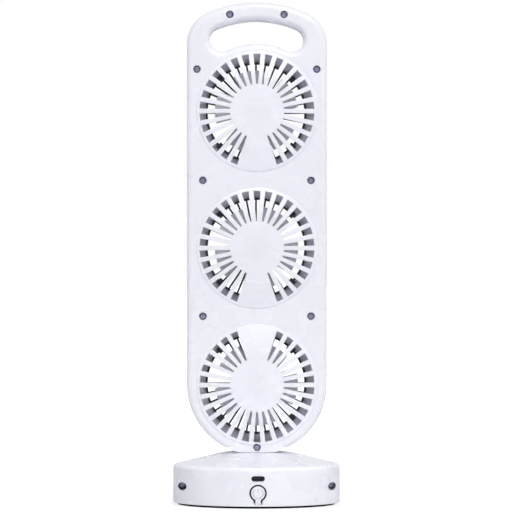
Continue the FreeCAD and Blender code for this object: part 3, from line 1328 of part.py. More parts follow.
def make_switch():
    """The push switch behind the button, and its plunger."""
    body = box("switch_body", ("switch_size", "switch_depth", "switch_size"),
               ("-switch_size / 2", f"-{BOARD_FACE} - switch_depth", "button_height - switch_size / 2"))
    hole = cylinder("switch_bore", "plunger_radius + shaft_gap", "plunger_in + plunger_room",
                    ("0", f"-{BOARD_FACE} - switch_depth", "button_height"), "y")
    keep(cut("switch", body, [hole]), "power_switch")
    plunger = cylinder("plunger", "plunger_radius", "plunger_in + plunger_out",
                       ("0", f"-{BOARD_FACE} - switch_depth - plunger_out", "button_height"), "y")
    keep(plunger, "switch_plunger")


def make_power_button():
    """A round face on a bending strip, cut out of the base's wall, with its post."""
    band = cut("button_band", cylinder("button_band_out", "base_radius", "shoulder_height", ("0", "0", "0")), [
        cylinder("button_band_in", "base_radius - button_thickness", "shoulder_height", ("0", "0", "0")),
    ])
    low = "button_root + button_root_gap"
    face = join("button_face", [
        cylinder("button_disc", "button_radius", "base_radius / 3", ("0", "-base_radius - over", "button_height"), "y"),
        box("button_strip", ("2 * button_neck", "base_radius / 3", f"button_height - ({low})"),
            ("-button_neck", "-base_radius - over", low)),
    ])
    skin = doc.addObject("Part::Common", "button_skin")
    skin.Base = band
    skin.Tool = face
    tip = f"({BOARD_FACE} + switch_depth + plunger_out + post_gap)"
    post = cylinder("button_post_rod", "button_post", f"base_radius - button_thickness / 2 - {tip}",
                    ("0", "-base_radius + button_thickness / 2", "button_height"), "y")
    keep(join("button", [skin, post]), "power_button")


# Leads: straight runs joined by tangent arcs

def lead_path(points):
    """A wire through the points, each corner as wide an arc as its runs allow."""
    edges = []
    start = points[0]
    for before, corner, after in zip(points, points[1:], points[2:]):
        to_corner = (corner - before).normalize()
        from_corner = (after - corner).normalize()
        turn = to_corner.getAngle(from_corner)
        back_off = 0.45 * min((corner - before).Length, (after - corner).Length)
        enter = corner - to_corner * back_off
        leave = corner + from_corner * back_off
        bisector = (from_corner - to_corner).normalize()
        radius = back_off / math.tan(turn / 2)
        middle = corner + bisector * (radius / math.cos(turn / 2) - radius)
        edges.append(Part.LineSegment(start, enter).toShape())
        edges.append(Part.Arc(enter, middle, leave).toShape())
        print(f"lead bend radius {radius:.1f}")
        start = leave
    edges.append(Part.LineSegment(start, points[-1]).toShape())
    return Part.Wire(edges)


def lead_solid(points, radius):
    """A tube along the path, with its volume tested against its length."""
    path = lead_path(points)
    ring = Part.Wire([Part.Circle(points[0], points[1] - points[0], radius).toShape()])
    tube = path.makePipeShell([ring], True, False)
    expected = math.pi * radius ** 2 * path.Length
    if abs(tube.Volume / expected - 1) > 0.02:
        raise ValueError("a lead's tube isn't whole")
    return tube


def lead_node(node, tubes):
    item = doc.addObject("Part::Feature", node + "_tube")
    item.Shape = tubes[0] if len(tubes) == 1 else Part.makeCompound(tubes)
    item.Placement = Placement()
    keep(item, node)


def make_motor_leads():
    """One lead from each motor, behind the closed sectors and down the side walls."""
    behind = -(size("disc_face") - size("dome_wall") - size("motor_ledge") / 2)
    wall_y = -(size("half_depth") - size("shell_wall") - 0.3 - size("motor_lead"))
    second_y = wall_y + 2 * size("motor_lead") + 0.3
    side = size("half_width") - size("shell_wall") - 1.2 - size("motor_lead")
    low = size("fan_low")
    pitch = size("fan_pitch")
    mouth = size("tower_bottom") + size("shell_wall") + size("block_gap") + size("neck_block_height")
    end_z = size("lead_top")
    ring = 1.05
    tubes = []
    routes = (("top", 1, wall_y, 90.0), ("middle", -1, wall_y, 210.0), ("bottom", 1, second_y, 330.0))
    for fan, hand, depth, turn in routes:
        centre = fan_z(fan)
        way = 1 if fan == "bottom" else -1
        end_x = ring * math.cos(math.radians(turn))
        end_y = ring * math.sin(math.radians(turn))
        points = [
            Vector(0, behind, centre + way * 6),
            Vector(0, behind, centre + way * 17),
            Vector(0, depth, centre + way * 39),
        ]
        if fan == "top":
            points.append(Vector(hand * 18, depth, centre - 55.5))
            points.append(Vector(hand * 38, depth, centre - 58))
            points.append(Vector(hand * side, depth, centre - 74))
            points.append(Vector(hand * (side - 0.5), depth, low + 0.7 * pitch))
        elif fan == "middle":
            points.append(Vector(hand * 18, depth, centre - 55.5))
            points.append(Vector(hand * 38, depth, centre - 58))
        else:
            points.append(Vector(hand * 14, depth, centre + 50.5))
            points.append(Vector(hand * 34, depth, centre + 41))
        points.append(Vector(hand * side, depth, low + 22))
        points.append(Vector(hand * (side - 1.2), depth, low - 8))
        points.append(Vector(hand * 35, depth, low - 31))
        points.append(Vector(hand * 22, depth + 1, low - 39.5))
        points.append(Vector(end_x + hand * 9, -6 + end_y * 1.5, mouth + 2.2))
        points.append(Vector(end_x, end_y, mouth + 2.0))
        points.append(Vector(end_x, end_y, end_z))
        tubes.append(lead_solid(points, size("motor_lead")))
    lead_node("motor_leads", tubes)


def make_other_leads():
    top = Vector(0, 0, size("lead_top"))
    joint = Vector(0, 0, size("lead_joint"))
    sheath = Part.makeCylinder(size("sheath"), top.z - joint.z, joint)
    lead_node("neck_lead", [sheath])
    board_y = -(size("base_radius") - size("board_inset") - size("board_thickness"))
    bend_z = size("lead_joint") - 14
    lead_node("board_lead", [lead_solid([
        joint,
        Vector(0, 0, bend_z),
        Vector(0, board_y * 0.6, bend_z - 2),
        Vector(0, board_y, bend_z - 2),
    ], size("sheath"))])
    cell_end = size("cell_length") / 2 + size("strap_thickness")
    cell_z = size("foot_height") + size("plate_thickness") + size("tray_floor") + size("cell_radius")
    near = size("cell_near")
    tubes = []
    for hand in (1, -1):
        tubes.append(lead_solid([
            Vector(hand * cell_end, near, cell_z),
            Vector(hand * (cell_end + 5), near, cell_z),
            Vector(hand * (cell_end + 5), near - 18, cell_z - 1),
            Vector(hand * (size("board_half_width") - 6), board_y + 14, cell_z - 5),
            Vector(hand * (size("board_half_width") - 6), board_y, cell_z - 5),
        ], size("battery_lead")))
    lead_node("battery_leads", tubes)


make_tower_rear_shell()
make_tower_front_shell()
make_tower_screws()
for fan_name, fan_turn in (("top", 26.0), ("middle", 54.0), ("bottom", 61.0)):
    make_front_guard(fan_name)
    make_impeller(fan_name, fan_turn)
    make_motor(fan_name)
    make_motor_bracket(fan_name)
make_motor_screws()
make_neck()
make_base_rear_shell()
make_base_front_shell()
make_base_screws()
make_base_plate()
make_plate_screws()
make_rubber_foot()
make_battery()
make_board()
make_usb_socket()
make_switch()
make_power_button()
make_motor_leads()
make_other_leads()
doc.recompute()

for item in doc.Objects:
    if "Invalid" in item.State or "Error" in item.State:
        raise ValueError(f"{item.Name} could not be made: {item.State}")
for item in NODES:
    if item.Shape.isNull() or not item.Shape.isValid():
        raise ValueError(f"{item.Label} has no valid shape")

os.makedirs("parts", exist_ok=True)
for item in NODES:
    item.Shape.exportStep(f"parts/{item.Label}.step")
    print(f"{item.Label}: {len(item.Shape.Solids)} solids, {item.Shape.Volume:.1f} cubic mm")
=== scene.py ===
# %% [markdown]
# # A portable three-head camping fan
#
# The fan stands on a round base and is seen from its rear, where the air goes in. The rigid pieces come
# from CAD as a fixed frame. Here they get their finishes, the button gets its symbol, and the fan gets a
# floor, soft lamps and the camera of the photograph. Lengths are in metres: +Z is up, and the rear faces -Y.

# %% Load the frame
import bpy
import json
import math
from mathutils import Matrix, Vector


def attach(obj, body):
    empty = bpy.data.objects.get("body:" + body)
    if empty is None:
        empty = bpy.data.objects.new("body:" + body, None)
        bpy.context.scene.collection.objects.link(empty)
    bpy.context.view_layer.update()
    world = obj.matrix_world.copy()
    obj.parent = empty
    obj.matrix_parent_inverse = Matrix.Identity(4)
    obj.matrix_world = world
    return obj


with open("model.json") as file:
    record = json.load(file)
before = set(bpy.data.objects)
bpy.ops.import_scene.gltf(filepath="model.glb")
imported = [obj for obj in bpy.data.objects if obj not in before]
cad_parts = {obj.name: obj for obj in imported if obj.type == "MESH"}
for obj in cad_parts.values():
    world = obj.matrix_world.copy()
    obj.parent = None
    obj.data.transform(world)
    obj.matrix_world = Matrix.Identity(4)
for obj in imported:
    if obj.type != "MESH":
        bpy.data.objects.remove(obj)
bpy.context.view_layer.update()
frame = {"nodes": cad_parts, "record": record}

# %% Sizes that the cells share
MM = 0.001
FAN_LOW = 86 * MM
FAN_PITCH = 98 * MM
BASE_RADIUS = 60 * MM
BUTTON_HEIGHT = 11.0 * MM
print("fan axes at", [round(FAN_LOW + n * FAN_PITCH, 3) for n in range(3)])


# %% [markdown]
# ## Tools for a material
#
# A real moulded or metal surface is never one even colour. It has a grain that the mould or the tool
# leaves, its gloss changes a little from place to place, and its colour drifts over some centimetres.
# Image textures could hold that, but they need unwrapped pieces. Noise that reads Object coordinates needs
# no unwrapping, has a true size in metres and moves with its piece, so all finishes here are built on it.

# %% Nodes and links of a material or a world
def add_node(owner, kind, **settings):
    node = owner.node_tree.nodes.new(kind)
    for key, value in settings.items():
        setattr(node, key, value)
    return node


def link(owner, start, end):
    owner.node_tree.links.new(start, end)


def math_node(owner, operation, first, second=0.0):
    """A Math node. Each input is a number or another node's output."""
    node = add_node(owner, "ShaderNodeMath", operation=operation)
    for socket, value in zip(node.inputs, (first, second)):
        if isinstance(value, (int, float)):
            socket.default_value = value
        else:
            link(owner, value, socket)
    return node.outputs["Value"]


def shader_of(material):
    return material.node_tree.nodes["Principled BSDF"]


def object_place(material):
    return add_node(material, "ShaderNodeTexCoord").outputs["Object"]


# %% A new material
def new_finish(name, colour, roughness, metallic=0.0, specular=0.5):
    material = bpy.data.materials.new(name)
    material.use_nodes = True
    shader = shader_of(material)
    shader.inputs["Base Color"].default_value = (*colour, 1)
    shader.inputs["Roughness"].default_value = roughness
    shader.inputs["Metallic"].default_value = metallic
    shader.inputs["Specular IOR Level"].default_value = specular
    material.diffuse_color = (*colour, 1)
    return material


GLOW = (0.85, 0.8, 1.0)
GLOW_SHARE = 0.6


def let_light_in(material, depth):
    """Light spreads some millimetres inside the plastic, blue a little further than red and green."""
    shader = shader_of(material)
    shader.inputs["Subsurface Weight"].default_value = GLOW_SHARE
    shader.inputs["Subsurface Radius"].default_value = GLOW
    shader.inputs["Subsurface Scale"].default_value = depth


# %% Noise of a real size, stretched if wanted
def noise(material, size, detail=2.0, stretch=(1, 1, 1)):
    """Noise whose features measure about size metres, made longer along an axis by stretch."""
    mapping = add_node(material, "ShaderNodeMapping")
    mapping.inputs["Scale"].default_value = [1 / part for part in stretch]
    texture = add_node(material, "ShaderNodeTexNoise")
    texture.inputs["Scale"].default_value = 1 / size
    texture.inputs["Detail"].default_value = detail
    link(material, object_place(material), mapping.inputs["Vector"])
    link(material, mapping.outputs["Vector"], texture.inputs["Vector"])
    return texture.outputs["Fac"]


# %% Colour that drifts, gloss that changes, and a grain
DRIFT_FROM, DRIFT_TO = 0.32, 0.68
GLOSS_FROM, GLOSS_TO = 0.3, 0.7
GLOSS_DETAIL = 3.0


def drift(material, first, second, size, detail=3.0, stretch=(1, 1, 1)):
    ramp = add_node(material, "ShaderNodeValToRGB")
    for stop, position, colour in zip(ramp.color_ramp.elements, (DRIFT_FROM, DRIFT_TO), (first, second)):
        stop.position = position
        stop.color = (*colour, 1)
    link(material, noise(material, size, detail, stretch), ramp.inputs["Fac"])
    link(material, ramp.outputs["Color"], shader_of(material).inputs["Base Color"])


def gloss(material, lowest, highest, size, stretch=(1, 1, 1)):
    spread = add_node(material, "ShaderNodeMapRange")
    spread.inputs["From Min"].default_value = GLOSS_FROM
    spread.inputs["From Max"].default_value = GLOSS_TO
    spread.inputs["To Min"].default_value = lowest
    spread.inputs["To Max"].default_value = highest
    link(material, noise(material, size, GLOSS_DETAIL, stretch), spread.inputs["Value"])
    link(material, spread.outputs["Result"], shader_of(material).inputs["Roughness"])


def grain(material, size, depth, detail=2.0, stretch=(1, 1, 1)):
    bump = add_node(material, "ShaderNodeBump")
    bump.inputs["Strength"].default_value = 1.0
    bump.inputs["Distance"].default_value = depth
    link(material, noise(material, size, detail, stretch), bump.inputs["Height"])
    link(material, bump.outputs["Normal"], shader_of(material).inputs["Normal"])


# %% Put a finish on CAD nodes
finished = {}


def wear(slot, material):
    """Every CAD node of this slot of the record gets the material."""
    nodes = [row["node"] for row in frame["record"]["subparts"] if row["material_slot"] == slot]
    for name in nodes:
        node = frame["nodes"][name]
        node.data.materials.clear()
        node.data.materials.append(material)
        finished[name] = material.name
    print(material.name, "on", len(nodes), "nodes")


# %% [markdown]
# ## The housing's plastic
#
# The two tower shells, the neck and the base's halves are injection-moulded ABS in a cool white. Such a
# part comes out of an eroded mould, so it has a very fine grain and a satin gloss. Its colour is even, apart
# from a slight drift where the plastic cooled slower. Three layers of noise give this: a drift over 6 cm, a
# change of gloss over 2 cm and a grain of a third of a millimetre. White plastic also lets light in and out
# again, which softens its shades, so this finish and the button's and the impellers' have subsurface light.

# %% Cool white plastic
housing = new_finish("cool_white_abs", (0.84, 0.84, 0.90), 0.27)
drift(housing, (0.825, 0.825, 0.89), (0.85, 0.85, 0.91), 60 * MM)
gloss(housing, 0.24, 0.30, 20 * MM)
let_light_in(housing, 5 * MM)
grain(housing, 0.35 * MM, 0.012 * MM)
wear("housing", housing)

# %% [markdown]
# ## The button's plastic
#
# The button is a tongue in the base's wall and comes from the same plastic, but fingers touch it, so its
# gloss changes over a few millimetres. It has its own material so that this can be changed alone.

# %% White plastic that fingers touch
button = new_finish("button_abs", (0.84, 0.84, 0.90), 0.31)
drift(button, (0.83, 0.83, 0.895), (0.85, 0.85, 0.91), 8 * MM)
gloss(button, 0.27, 0.35, 4 * MM)
let_light_in(button, 5 * MM)
grain(button, 0.35 * MM, 0.008 * MM)
wear("button", button)

# %% [markdown]
# ## The bottom plate
#
# The plate under the base is never looked at, so it is moulded from a cheaper batch: a shade greyer, with a
# coarser grain that hides scratches.

# %% Coarse grey-white plastic
plate = new_finish("plate_abs", (0.70, 0.70, 0.76), 0.5)
drift(plate, (0.68, 0.68, 0.745), (0.72, 0.72, 0.775), 35 * MM)
gloss(plate, 0.46, 0.58, 9 * MM)
grain(plate, 0.7 * MM, 0.03 * MM)
wear("base_plate", plate)

# %% [markdown]
# ## The front guards
#
# Through the inlets the front guards show as dark bars. They are charcoal plastic with a satin face. The
# bars are thin, so the grain is finer than on the housing, or it would eat their edges.

# %% Charcoal plastic
guard = new_finish("charcoal_guard", (0.045, 0.045, 0.055), 0.45)
drift(guard, (0.040, 0.040, 0.050), (0.052, 0.052, 0.062), 15 * MM)
gloss(guard, 0.38, 0.52, 6 * MM)
grain(guard, 0.2 * MM, 0.006 * MM)
wear("guard", guard)

# %% [markdown]
# ## The impellers
#
# The impellers are moulded in white polypropylene from a polished mould. They are about as glossy as the
# housing, but plastic that flows into thin blades leaves faint streaks, so the gloss changes more. Noise that
# is stretched along the fan's axis, from edge to edge of a blade, stands for these streaks.

# %% Glossy white polypropylene
impeller = new_finish("white_impeller", (0.82, 0.82, 0.87), 0.3)
drift(impeller, (0.805, 0.805, 0.86), (0.835, 0.835, 0.88), 18 * MM)
let_light_in(impeller, 3 * MM)
gloss(impeller, 0.22, 0.36, 3 * MM, stretch=(1, 4, 1))
grain(impeller, 1.2 * MM, 0.01 * MM)
wear("impeller", impeller)

# %% [markdown]
# ## The rubber foot
#
# The ring under the base is soft rubber, so it is nearly black and without gloss. Rubber is never quite
# even, so a slightly paler tone breaks the black into small patches.

# %% Matt rubber
rubber = new_finish("foot_rubber", (0.012, 0.012, 0.014), 0.8, specular=0.2)
drift(rubber, (0.010, 0.010, 0.012), (0.020, 0.020, 0.023), 2.5 * MM, detail=6.0)
gloss(rubber, 0.72, 0.9, 5 * MM)
grain(rubber, 0.5 * MM, 0.03 * MM)
wear("foot", rubber)

# %% [markdown]
# ## The screws
#
# The screws are plated steel that looks blue-grey in the photograph. Plating follows the turned and rolled
# surface, so the noise is fine and a little uneven, and the metal is darker where the plating is thin.

# %% Blue-grey plated steel
screws = new_finish("plated_screw", (0.30, 0.29, 0.40), 0.34, metallic=1.0)
drift(screws, (0.25, 0.24, 0.35), (0.36, 0.35, 0.46), 1.6 * MM)
gloss(screws, 0.26, 0.45, 0.9 * MM)
grain(screws, 0.25 * MM, 0.01 * MM)
wear("screws", screws)

# %% [markdown]
# ## Sheet metal inside
#
# The motor cans are drawn from zinc-plated sheet, their brackets are stamped from the same sheet, and the
# socket's shell is rolled from thinner stainless sheet. The battery cells are joined by rolled nickel strip,
# a warmer grey. Drawing and rolling leave fine lines along one direction. Noise that is stretched along that
# direction gives them: along X on the flat brackets, and along Y on the others.

# %% Drawn, stamped and rolled sheet
motor_steel = new_finish("drawn_zinc_sheet", (0.55, 0.55, 0.56), 0.35, metallic=1.0)
drift(motor_steel, (0.50, 0.50, 0.51), (0.62, 0.62, 0.62), 2.2 * MM, stretch=(1, 12, 1))
gloss(motor_steel, 0.26, 0.44, 1.4 * MM, stretch=(1, 12, 1))
grain(motor_steel, 0.3 * MM, 0.006 * MM, stretch=(1, 20, 1))
wear("motor_steel", motor_steel)

bracket = new_finish("stamped_sheet", (0.52, 0.52, 0.53), 0.4, metallic=1.0)
drift(bracket, (0.47, 0.47, 0.48), (0.58, 0.58, 0.58), 3 * MM, stretch=(10, 1, 1))
gloss(bracket, 0.3, 0.5, 2 * MM, stretch=(10, 1, 1))
grain(bracket, 0.3 * MM, 0.008 * MM, stretch=(16, 1, 1))
wear("bracket", bracket)

socket_steel = new_finish("rolled_socket_steel", (0.04, 0.04, 0.045), 0.35, metallic=1.0)
drift(socket_steel, (0.03, 0.03, 0.035), (0.055, 0.055, 0.06), 1.5 * MM, stretch=(1, 8, 1))
gloss(socket_steel, 0.28, 0.42, 1 * MM, stretch=(1, 8, 1))
grain(socket_steel, 0.2 * MM, 0.004 * MM, stretch=(1, 12, 1))
wear("socket_steel", socket_steel)

# %% Nickel strip
nickel = new_finish("nickel_strip", (0.58, 0.56, 0.52), 0.38, metallic=1.0)
drift(nickel, (0.52, 0.50, 0.46), (0.64, 0.62, 0.58), 2 * MM, stretch=(1, 6, 1))
gloss(nickel, 0.3, 0.48, 1.5 * MM)
grain(nickel, 0.4 * MM, 0.01 * MM)
wear("nickel", nickel)

# %% [markdown]
# ## Dark moulded pieces and the magnets
#
# The motor caps, the switch, its plunger and the socket's tongue are black nylon or LCP, which is moulded
# smooth. The battery tray is the same kind of plastic with a grain. The ferrite magnets are pressed powder,
# so they are dark, dull and speckled.

# %% Black plastic, tray and ferrite
black = new_finish("black_nylon", (0.018, 0.018, 0.021), 0.4)
drift(black, (0.015, 0.015, 0.018), (0.024, 0.024, 0.027), 4 * MM)
gloss(black, 0.32, 0.48, 2 * MM)
grain(black, 0.25 * MM, 0.006 * MM)
wear("black_plastic", black)

tray = new_finish("tray_abs", (0.10, 0.10, 0.11), 0.55)
drift(tray, (0.09, 0.09, 0.10), (0.115, 0.115, 0.125), 12 * MM)
gloss(tray, 0.48, 0.62, 5 * MM)
grain(tray, 0.6 * MM, 0.03 * MM)
wear("tray", tray)

ferrite = new_finish("pressed_ferrite", (0.06, 0.06, 0.065), 0.6, specular=0.6)
drift(ferrite, (0.04, 0.04, 0.045), (0.09, 0.09, 0.10), 0.5 * MM, detail=5.0)
gloss(ferrite, 0.5, 0.7, 0.8 * MM)
grain(ferrite, 0.3 * MM, 0.02 * MM, detail=5.0)
wear("magnet", ferrite)


# %% [markdown]
# ## The motors' armatures
#
# A small motor's armature is a steel shaft, a stack of stamped laminations and copper windings. In CAD it
# is one turned piece, so its material tells them apart by the distance from the fan's axis. The three fans
# stand one pitch apart, so the height is folded by that pitch first, and one material serves all three.

# %% Distance from the nearest fan's axis
def axis_distance(material):
    parts = add_node(material, "ShaderNodeSeparateXYZ")
    link(material, object_place(material), parts.inputs["Vector"])
    lifted = math_node(material, "ADD", parts.outputs["Z"], FAN_PITCH / 2 - FAN_LOW)
    folded = math_node(material, "MODULO", lifted, FAN_PITCH)
    height = math_node(material, "SUBTRACT", folded, FAN_PITCH / 2)
    across = math_node(material, "POWER", parts.outputs["X"], 2.0)
    upright = math_node(material, "POWER", height, 2.0)
    return math_node(material, "SQRT", math_node(material, "ADD", across, upright))


# %% Shaft, laminations and copper
ARMATURE_RADIUS = 8.5 * MM
WINDINGS_FROM, STACK_FROM = 0.22, 0.82
WIRE_PITCH = 0.5 * MM
WAVE_TURN = 6.28
armature = new_finish("wound_armature", (0.6, 0.33, 0.16), 0.36, metallic=1.0)
shaft_or_rest = add_node(armature, "ShaderNodeValToRGB")
bands = shaft_or_rest.color_ramp
bands.interpolation = "CONSTANT"
bands.elements[0].color = (0.62, 0.62, 0.63, 1)
bands.elements[1].position = WINDINGS_FROM
bands.elements[1].color = (0.62, 0.30, 0.13, 1)
bands.elements.new(STACK_FROM).color = (0.33, 0.33, 0.35, 1)
share = math_node(armature, "DIVIDE", axis_distance(armature), ARMATURE_RADIUS)
link(armature, share, shaft_or_rest.inputs["Fac"])
link(armature, shaft_or_rest.outputs["Color"], shader_of(armature).inputs["Base Color"])
gloss(armature, 0.28, 0.45, 1 * MM)
turns = add_node(armature, "ShaderNodeTexWave", wave_type="BANDS", bands_direction="Y")
turns.inputs["Scale"].default_value = 1 / WIRE_PITCH / WAVE_TURN
turns.inputs["Distortion"].default_value = 0.4
link(armature, object_place(armature), turns.inputs["Vector"])
winding_bump = add_node(armature, "ShaderNodeBump")
winding_bump.inputs["Distance"].default_value = 0.05 * MM
link(armature, turns.outputs["Fac"], winding_bump.inputs["Height"])
link(armature, winding_bump.outputs["Normal"], shader_of(armature).inputs["Normal"])
wear("armature", armature)

# %% [markdown]
# ## The circuit board
#
# Through the slot round the button the board looks black, so it is black solder mask over copper. Where a
# copper track runs, the mask stands a little higher and looks paler. Real tracks run straight and turn in
# steps, and the cells of a Voronoi texture that measures distance along the axes have such edges.

# %% Solder mask over tracks
TRACK_SIZE = 5 * MM
TRACK_FROM = 0.58
board = new_finish("black_solder_mask", (0.012, 0.012, 0.014), 0.3)
tracks = add_node(board, "ShaderNodeTexVoronoi", feature="F1", distance="MANHATTAN")
tracks.inputs["Scale"].default_value = 1 / TRACK_SIZE
track_edge = add_node(board, "ShaderNodeValToRGB")
track_edge.color_ramp.interpolation = "CONSTANT"
track_edge.color_ramp.elements[0].color = (0.008, 0.008, 0.010, 1)
track_edge.color_ramp.elements[1].position = TRACK_FROM
track_edge.color_ramp.elements[1].color = (0.020, 0.020, 0.023, 1)
link(board, object_place(board), tracks.inputs["Vector"])
link(board, tracks.outputs["Distance"], track_edge.inputs["Fac"])
link(board, track_edge.outputs["Color"], shader_of(board).inputs["Base Color"])
gloss(board, 0.22, 0.36, 3 * MM)
mask_bump = add_node(board, "ShaderNodeBump")
mask_bump.inputs["Distance"].default_value = 0.03 * MM
link(board, track_edge.outputs["Color"], mask_bump.inputs["Height"])
link(board, mask_bump.outputs["Normal"], shader_of(board).inputs["Normal"])
wear("board", board)

# %% [markdown]
# ## The battery cells and the wires
#
# Each cell wears a shrunk plastic sleeve that stops short of its ends, where bare steel shows. The cells
# lie along X, so the distance from the middle tells sleeve from steel. The wires have a smooth plastic
# insulation that is glossy and slightly wavy.

# %% Sleeved cells
SLEEVE_END = 31.6 * MM
SLEEVE_BLUE = (0.03, 0.12, 0.34)
cells = new_finish("sleeved_cell", SLEEVE_BLUE, 0.25)
cell_parts = add_node(cells, "ShaderNodeSeparateXYZ")
link(cells, object_place(cells), cell_parts.inputs["Vector"])
reach = math_node(cells, "ABSOLUTE", cell_parts.outputs["X"])
bare = math_node(cells, "GREATER_THAN", reach, SLEEVE_END)
sleeve = add_node(cells, "ShaderNodeMix", data_type="RGBA")
sleeve.inputs["A"].default_value = (*SLEEVE_BLUE, 1)
sleeve.inputs["B"].default_value = (0.6, 0.6, 0.6, 1)
link(cells, bare, sleeve.inputs["Factor"])
link(cells, sleeve.outputs["Result"], shader_of(cells).inputs["Base Color"])
link(cells, bare, shader_of(cells).inputs["Metallic"])
gloss(cells, 0.2, 0.34, 6 * MM)
grain(cells, 2.5 * MM, 0.02 * MM)
wear("cell_wrap", cells)

# %% Wire insulation
wire = new_finish("wire_insulation", (0.55, 0.55, 0.60), 0.32)
drift(wire, (0.52, 0.52, 0.57), (0.58, 0.58, 0.63), 5 * MM)
gloss(wire, 0.26, 0.4, 3 * MM)
grain(wire, 1.5 * MM, 0.02 * MM)
wear("lead", wire)
print("nodes without a finish:", sorted(set(frame["nodes"]) - set(finished)))


# %% [markdown]
# ## The symbol on the button
#
# The button carries the usual power symbol, a ring that is open at the top with a short bar in the gap. On
# the real button it is moulded a few hundredths of a millimetre proud and can barely be seen. A texture could
# draw it, but a raised mark catches the light as the real one does. A circle's edge is extruded inwards to a
# flat band, the faces in the gap are deleted, and the band is laid on the button's curved face.

# %% Start clean, with nothing or one piece selected
def deselect():
    if bpy.context.object and bpy.context.object.mode != "OBJECT":
        bpy.ops.object.mode_set(mode="OBJECT")
    bpy.ops.object.select_all(action="DESELECT")


def select_only(piece):
    deselect()
    piece.select_set(True)
    bpy.context.view_layer.objects.active = piece


def settle(piece):
    """Put the object at the origin, unturned and unscaled, with its place in its mesh."""
    select_only(piece)
    bpy.ops.object.transform_apply(location=True, rotation=True, scale=True)


# %% The open ring
RING_RADIUS = 3.5 * MM
STROKE = 0.55 * MM
BAR_MIDDLE = 1.7 * MM
BAR_LENGTH = 2.6 * MM
HALF_GAP = math.radians(38)
RING_POINTS = 72
STAND_OFF = 2 * MM
UPRIGHT = (math.pi / 2, 0, 0)
ring_outside = RING_RADIUS + STROKE / 2
shrink = (RING_RADIUS - STROKE / 2) / ring_outside
centre = Vector((0, -BASE_RADIUS - STAND_OFF, BUTTON_HEIGHT))
deselect()
bpy.ops.mesh.primitive_circle_add(vertices=RING_POINTS, radius=ring_outside, location=centre,
                                  rotation=UPRIGHT)
ring = bpy.context.object
ring.name = "power_ring"
settle(ring)
bpy.ops.object.mode_set(mode="EDIT")
bpy.ops.mesh.select_all(action="SELECT")
bpy.ops.mesh.extrude_edges_move(TRANSFORM_OT_translate={"value": (0, 0, 0)})
bpy.ops.transform.resize(value=(shrink, 1, shrink), center_override=centre)
bpy.ops.mesh.select_all(action="DESELECT")
bpy.ops.object.mode_set(mode="OBJECT")
for face in ring.data.polygons:
    away = face.center - centre
    face.select = abs(math.atan2(away.x, away.z)) < HALF_GAP
bpy.ops.object.mode_set(mode="EDIT")
bpy.ops.mesh.select_mode(type="FACE")
bpy.ops.mesh.delete(type="FACE")
bpy.ops.object.mode_set(mode="OBJECT")
print("ring:", len(ring.data.polygons), "faces")

# %% The bar in its gap
BAR_CUTS = 3
deselect()
bpy.ops.mesh.primitive_plane_add(size=1, location=centre + Vector((0, 0, BAR_MIDDLE)), rotation=UPRIGHT)
bar = bpy.context.object
bar.name = "power_bar"
bar.scale = (STROKE, BAR_LENGTH, 1)
settle(bar)
bpy.ops.object.mode_set(mode="EDIT")
bpy.ops.mesh.select_all(action="SELECT")
bpy.ops.mesh.subdivide(number_cuts=BAR_CUTS)
bpy.ops.object.mode_set(mode="OBJECT")
print("bar:", len(bar.data.polygons), "faces")


# %% [markdown]
# A Shrinkwrap modifier lays both flat pieces on the button, a hundredth of a millimetre above it, and a
# Solidify modifier gives them their small height.

# %% Lay the strokes on the button
LIFT = 0.01 * MM
SYMBOL_RISE = 0.06 * MM


def lay_on_button(piece):
    select_only(piece)
    bpy.ops.object.mode_set(mode="EDIT")
    bpy.ops.mesh.select_all(action="SELECT")
    bpy.ops.mesh.normals_make_consistent(inside=False)
    bpy.ops.object.mode_set(mode="OBJECT")
    if piece.data.polygons[0].normal.y > 0:
        bpy.ops.object.mode_set(mode="EDIT")
        bpy.ops.mesh.flip_normals()
        bpy.ops.object.mode_set(mode="OBJECT")
    wrap = piece.modifiers.new("lay", "SHRINKWRAP")
    wrap.target = frame["nodes"]["power_button"]
    wrap.wrap_method = "PROJECT"
    wrap.use_project_y = True
    wrap.use_positive_direction = True
    wrap.use_negative_direction = False
    wrap.offset = LIFT
    bpy.ops.object.modifier_apply(modifier="lay")
    height = piece.modifiers.new("height", "SOLIDIFY")
    height.thickness = SYMBOL_RISE
    height.offset = 1
    bpy.ops.object.modifier_apply(modifier="height")
    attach(piece, "button")
    print(piece.name, "y", round(min(v.co.y for v in piece.data.vertices), 6))


# %% The mark's own tone
mark = new_finish("symbol_grey", (0.55, 0.55, 0.62), 0.4)
drift(mark, (0.53, 0.53, 0.60), (0.57, 0.57, 0.64), 2 * MM)
gloss(mark, 0.34, 0.46, 1 * MM)
grain(mark, 0.3 * MM, 0.005 * MM)
for piece in (ring, bar):
    lay_on_button(piece)
    piece.data.materials.append(mark)

# %% [markdown]
# ## The floor and the backdrop
#
# The photograph is a cut-out on white, so the floor and the world show as plain white to the camera. Light
# Path's Is Camera Ray tells the camera's own rays from the light's. Glossy rays see a little less than half
# of that white, so shiny pieces mirror it softly. All other rays see a dimmer, slightly lavender world that
# fills the shades.

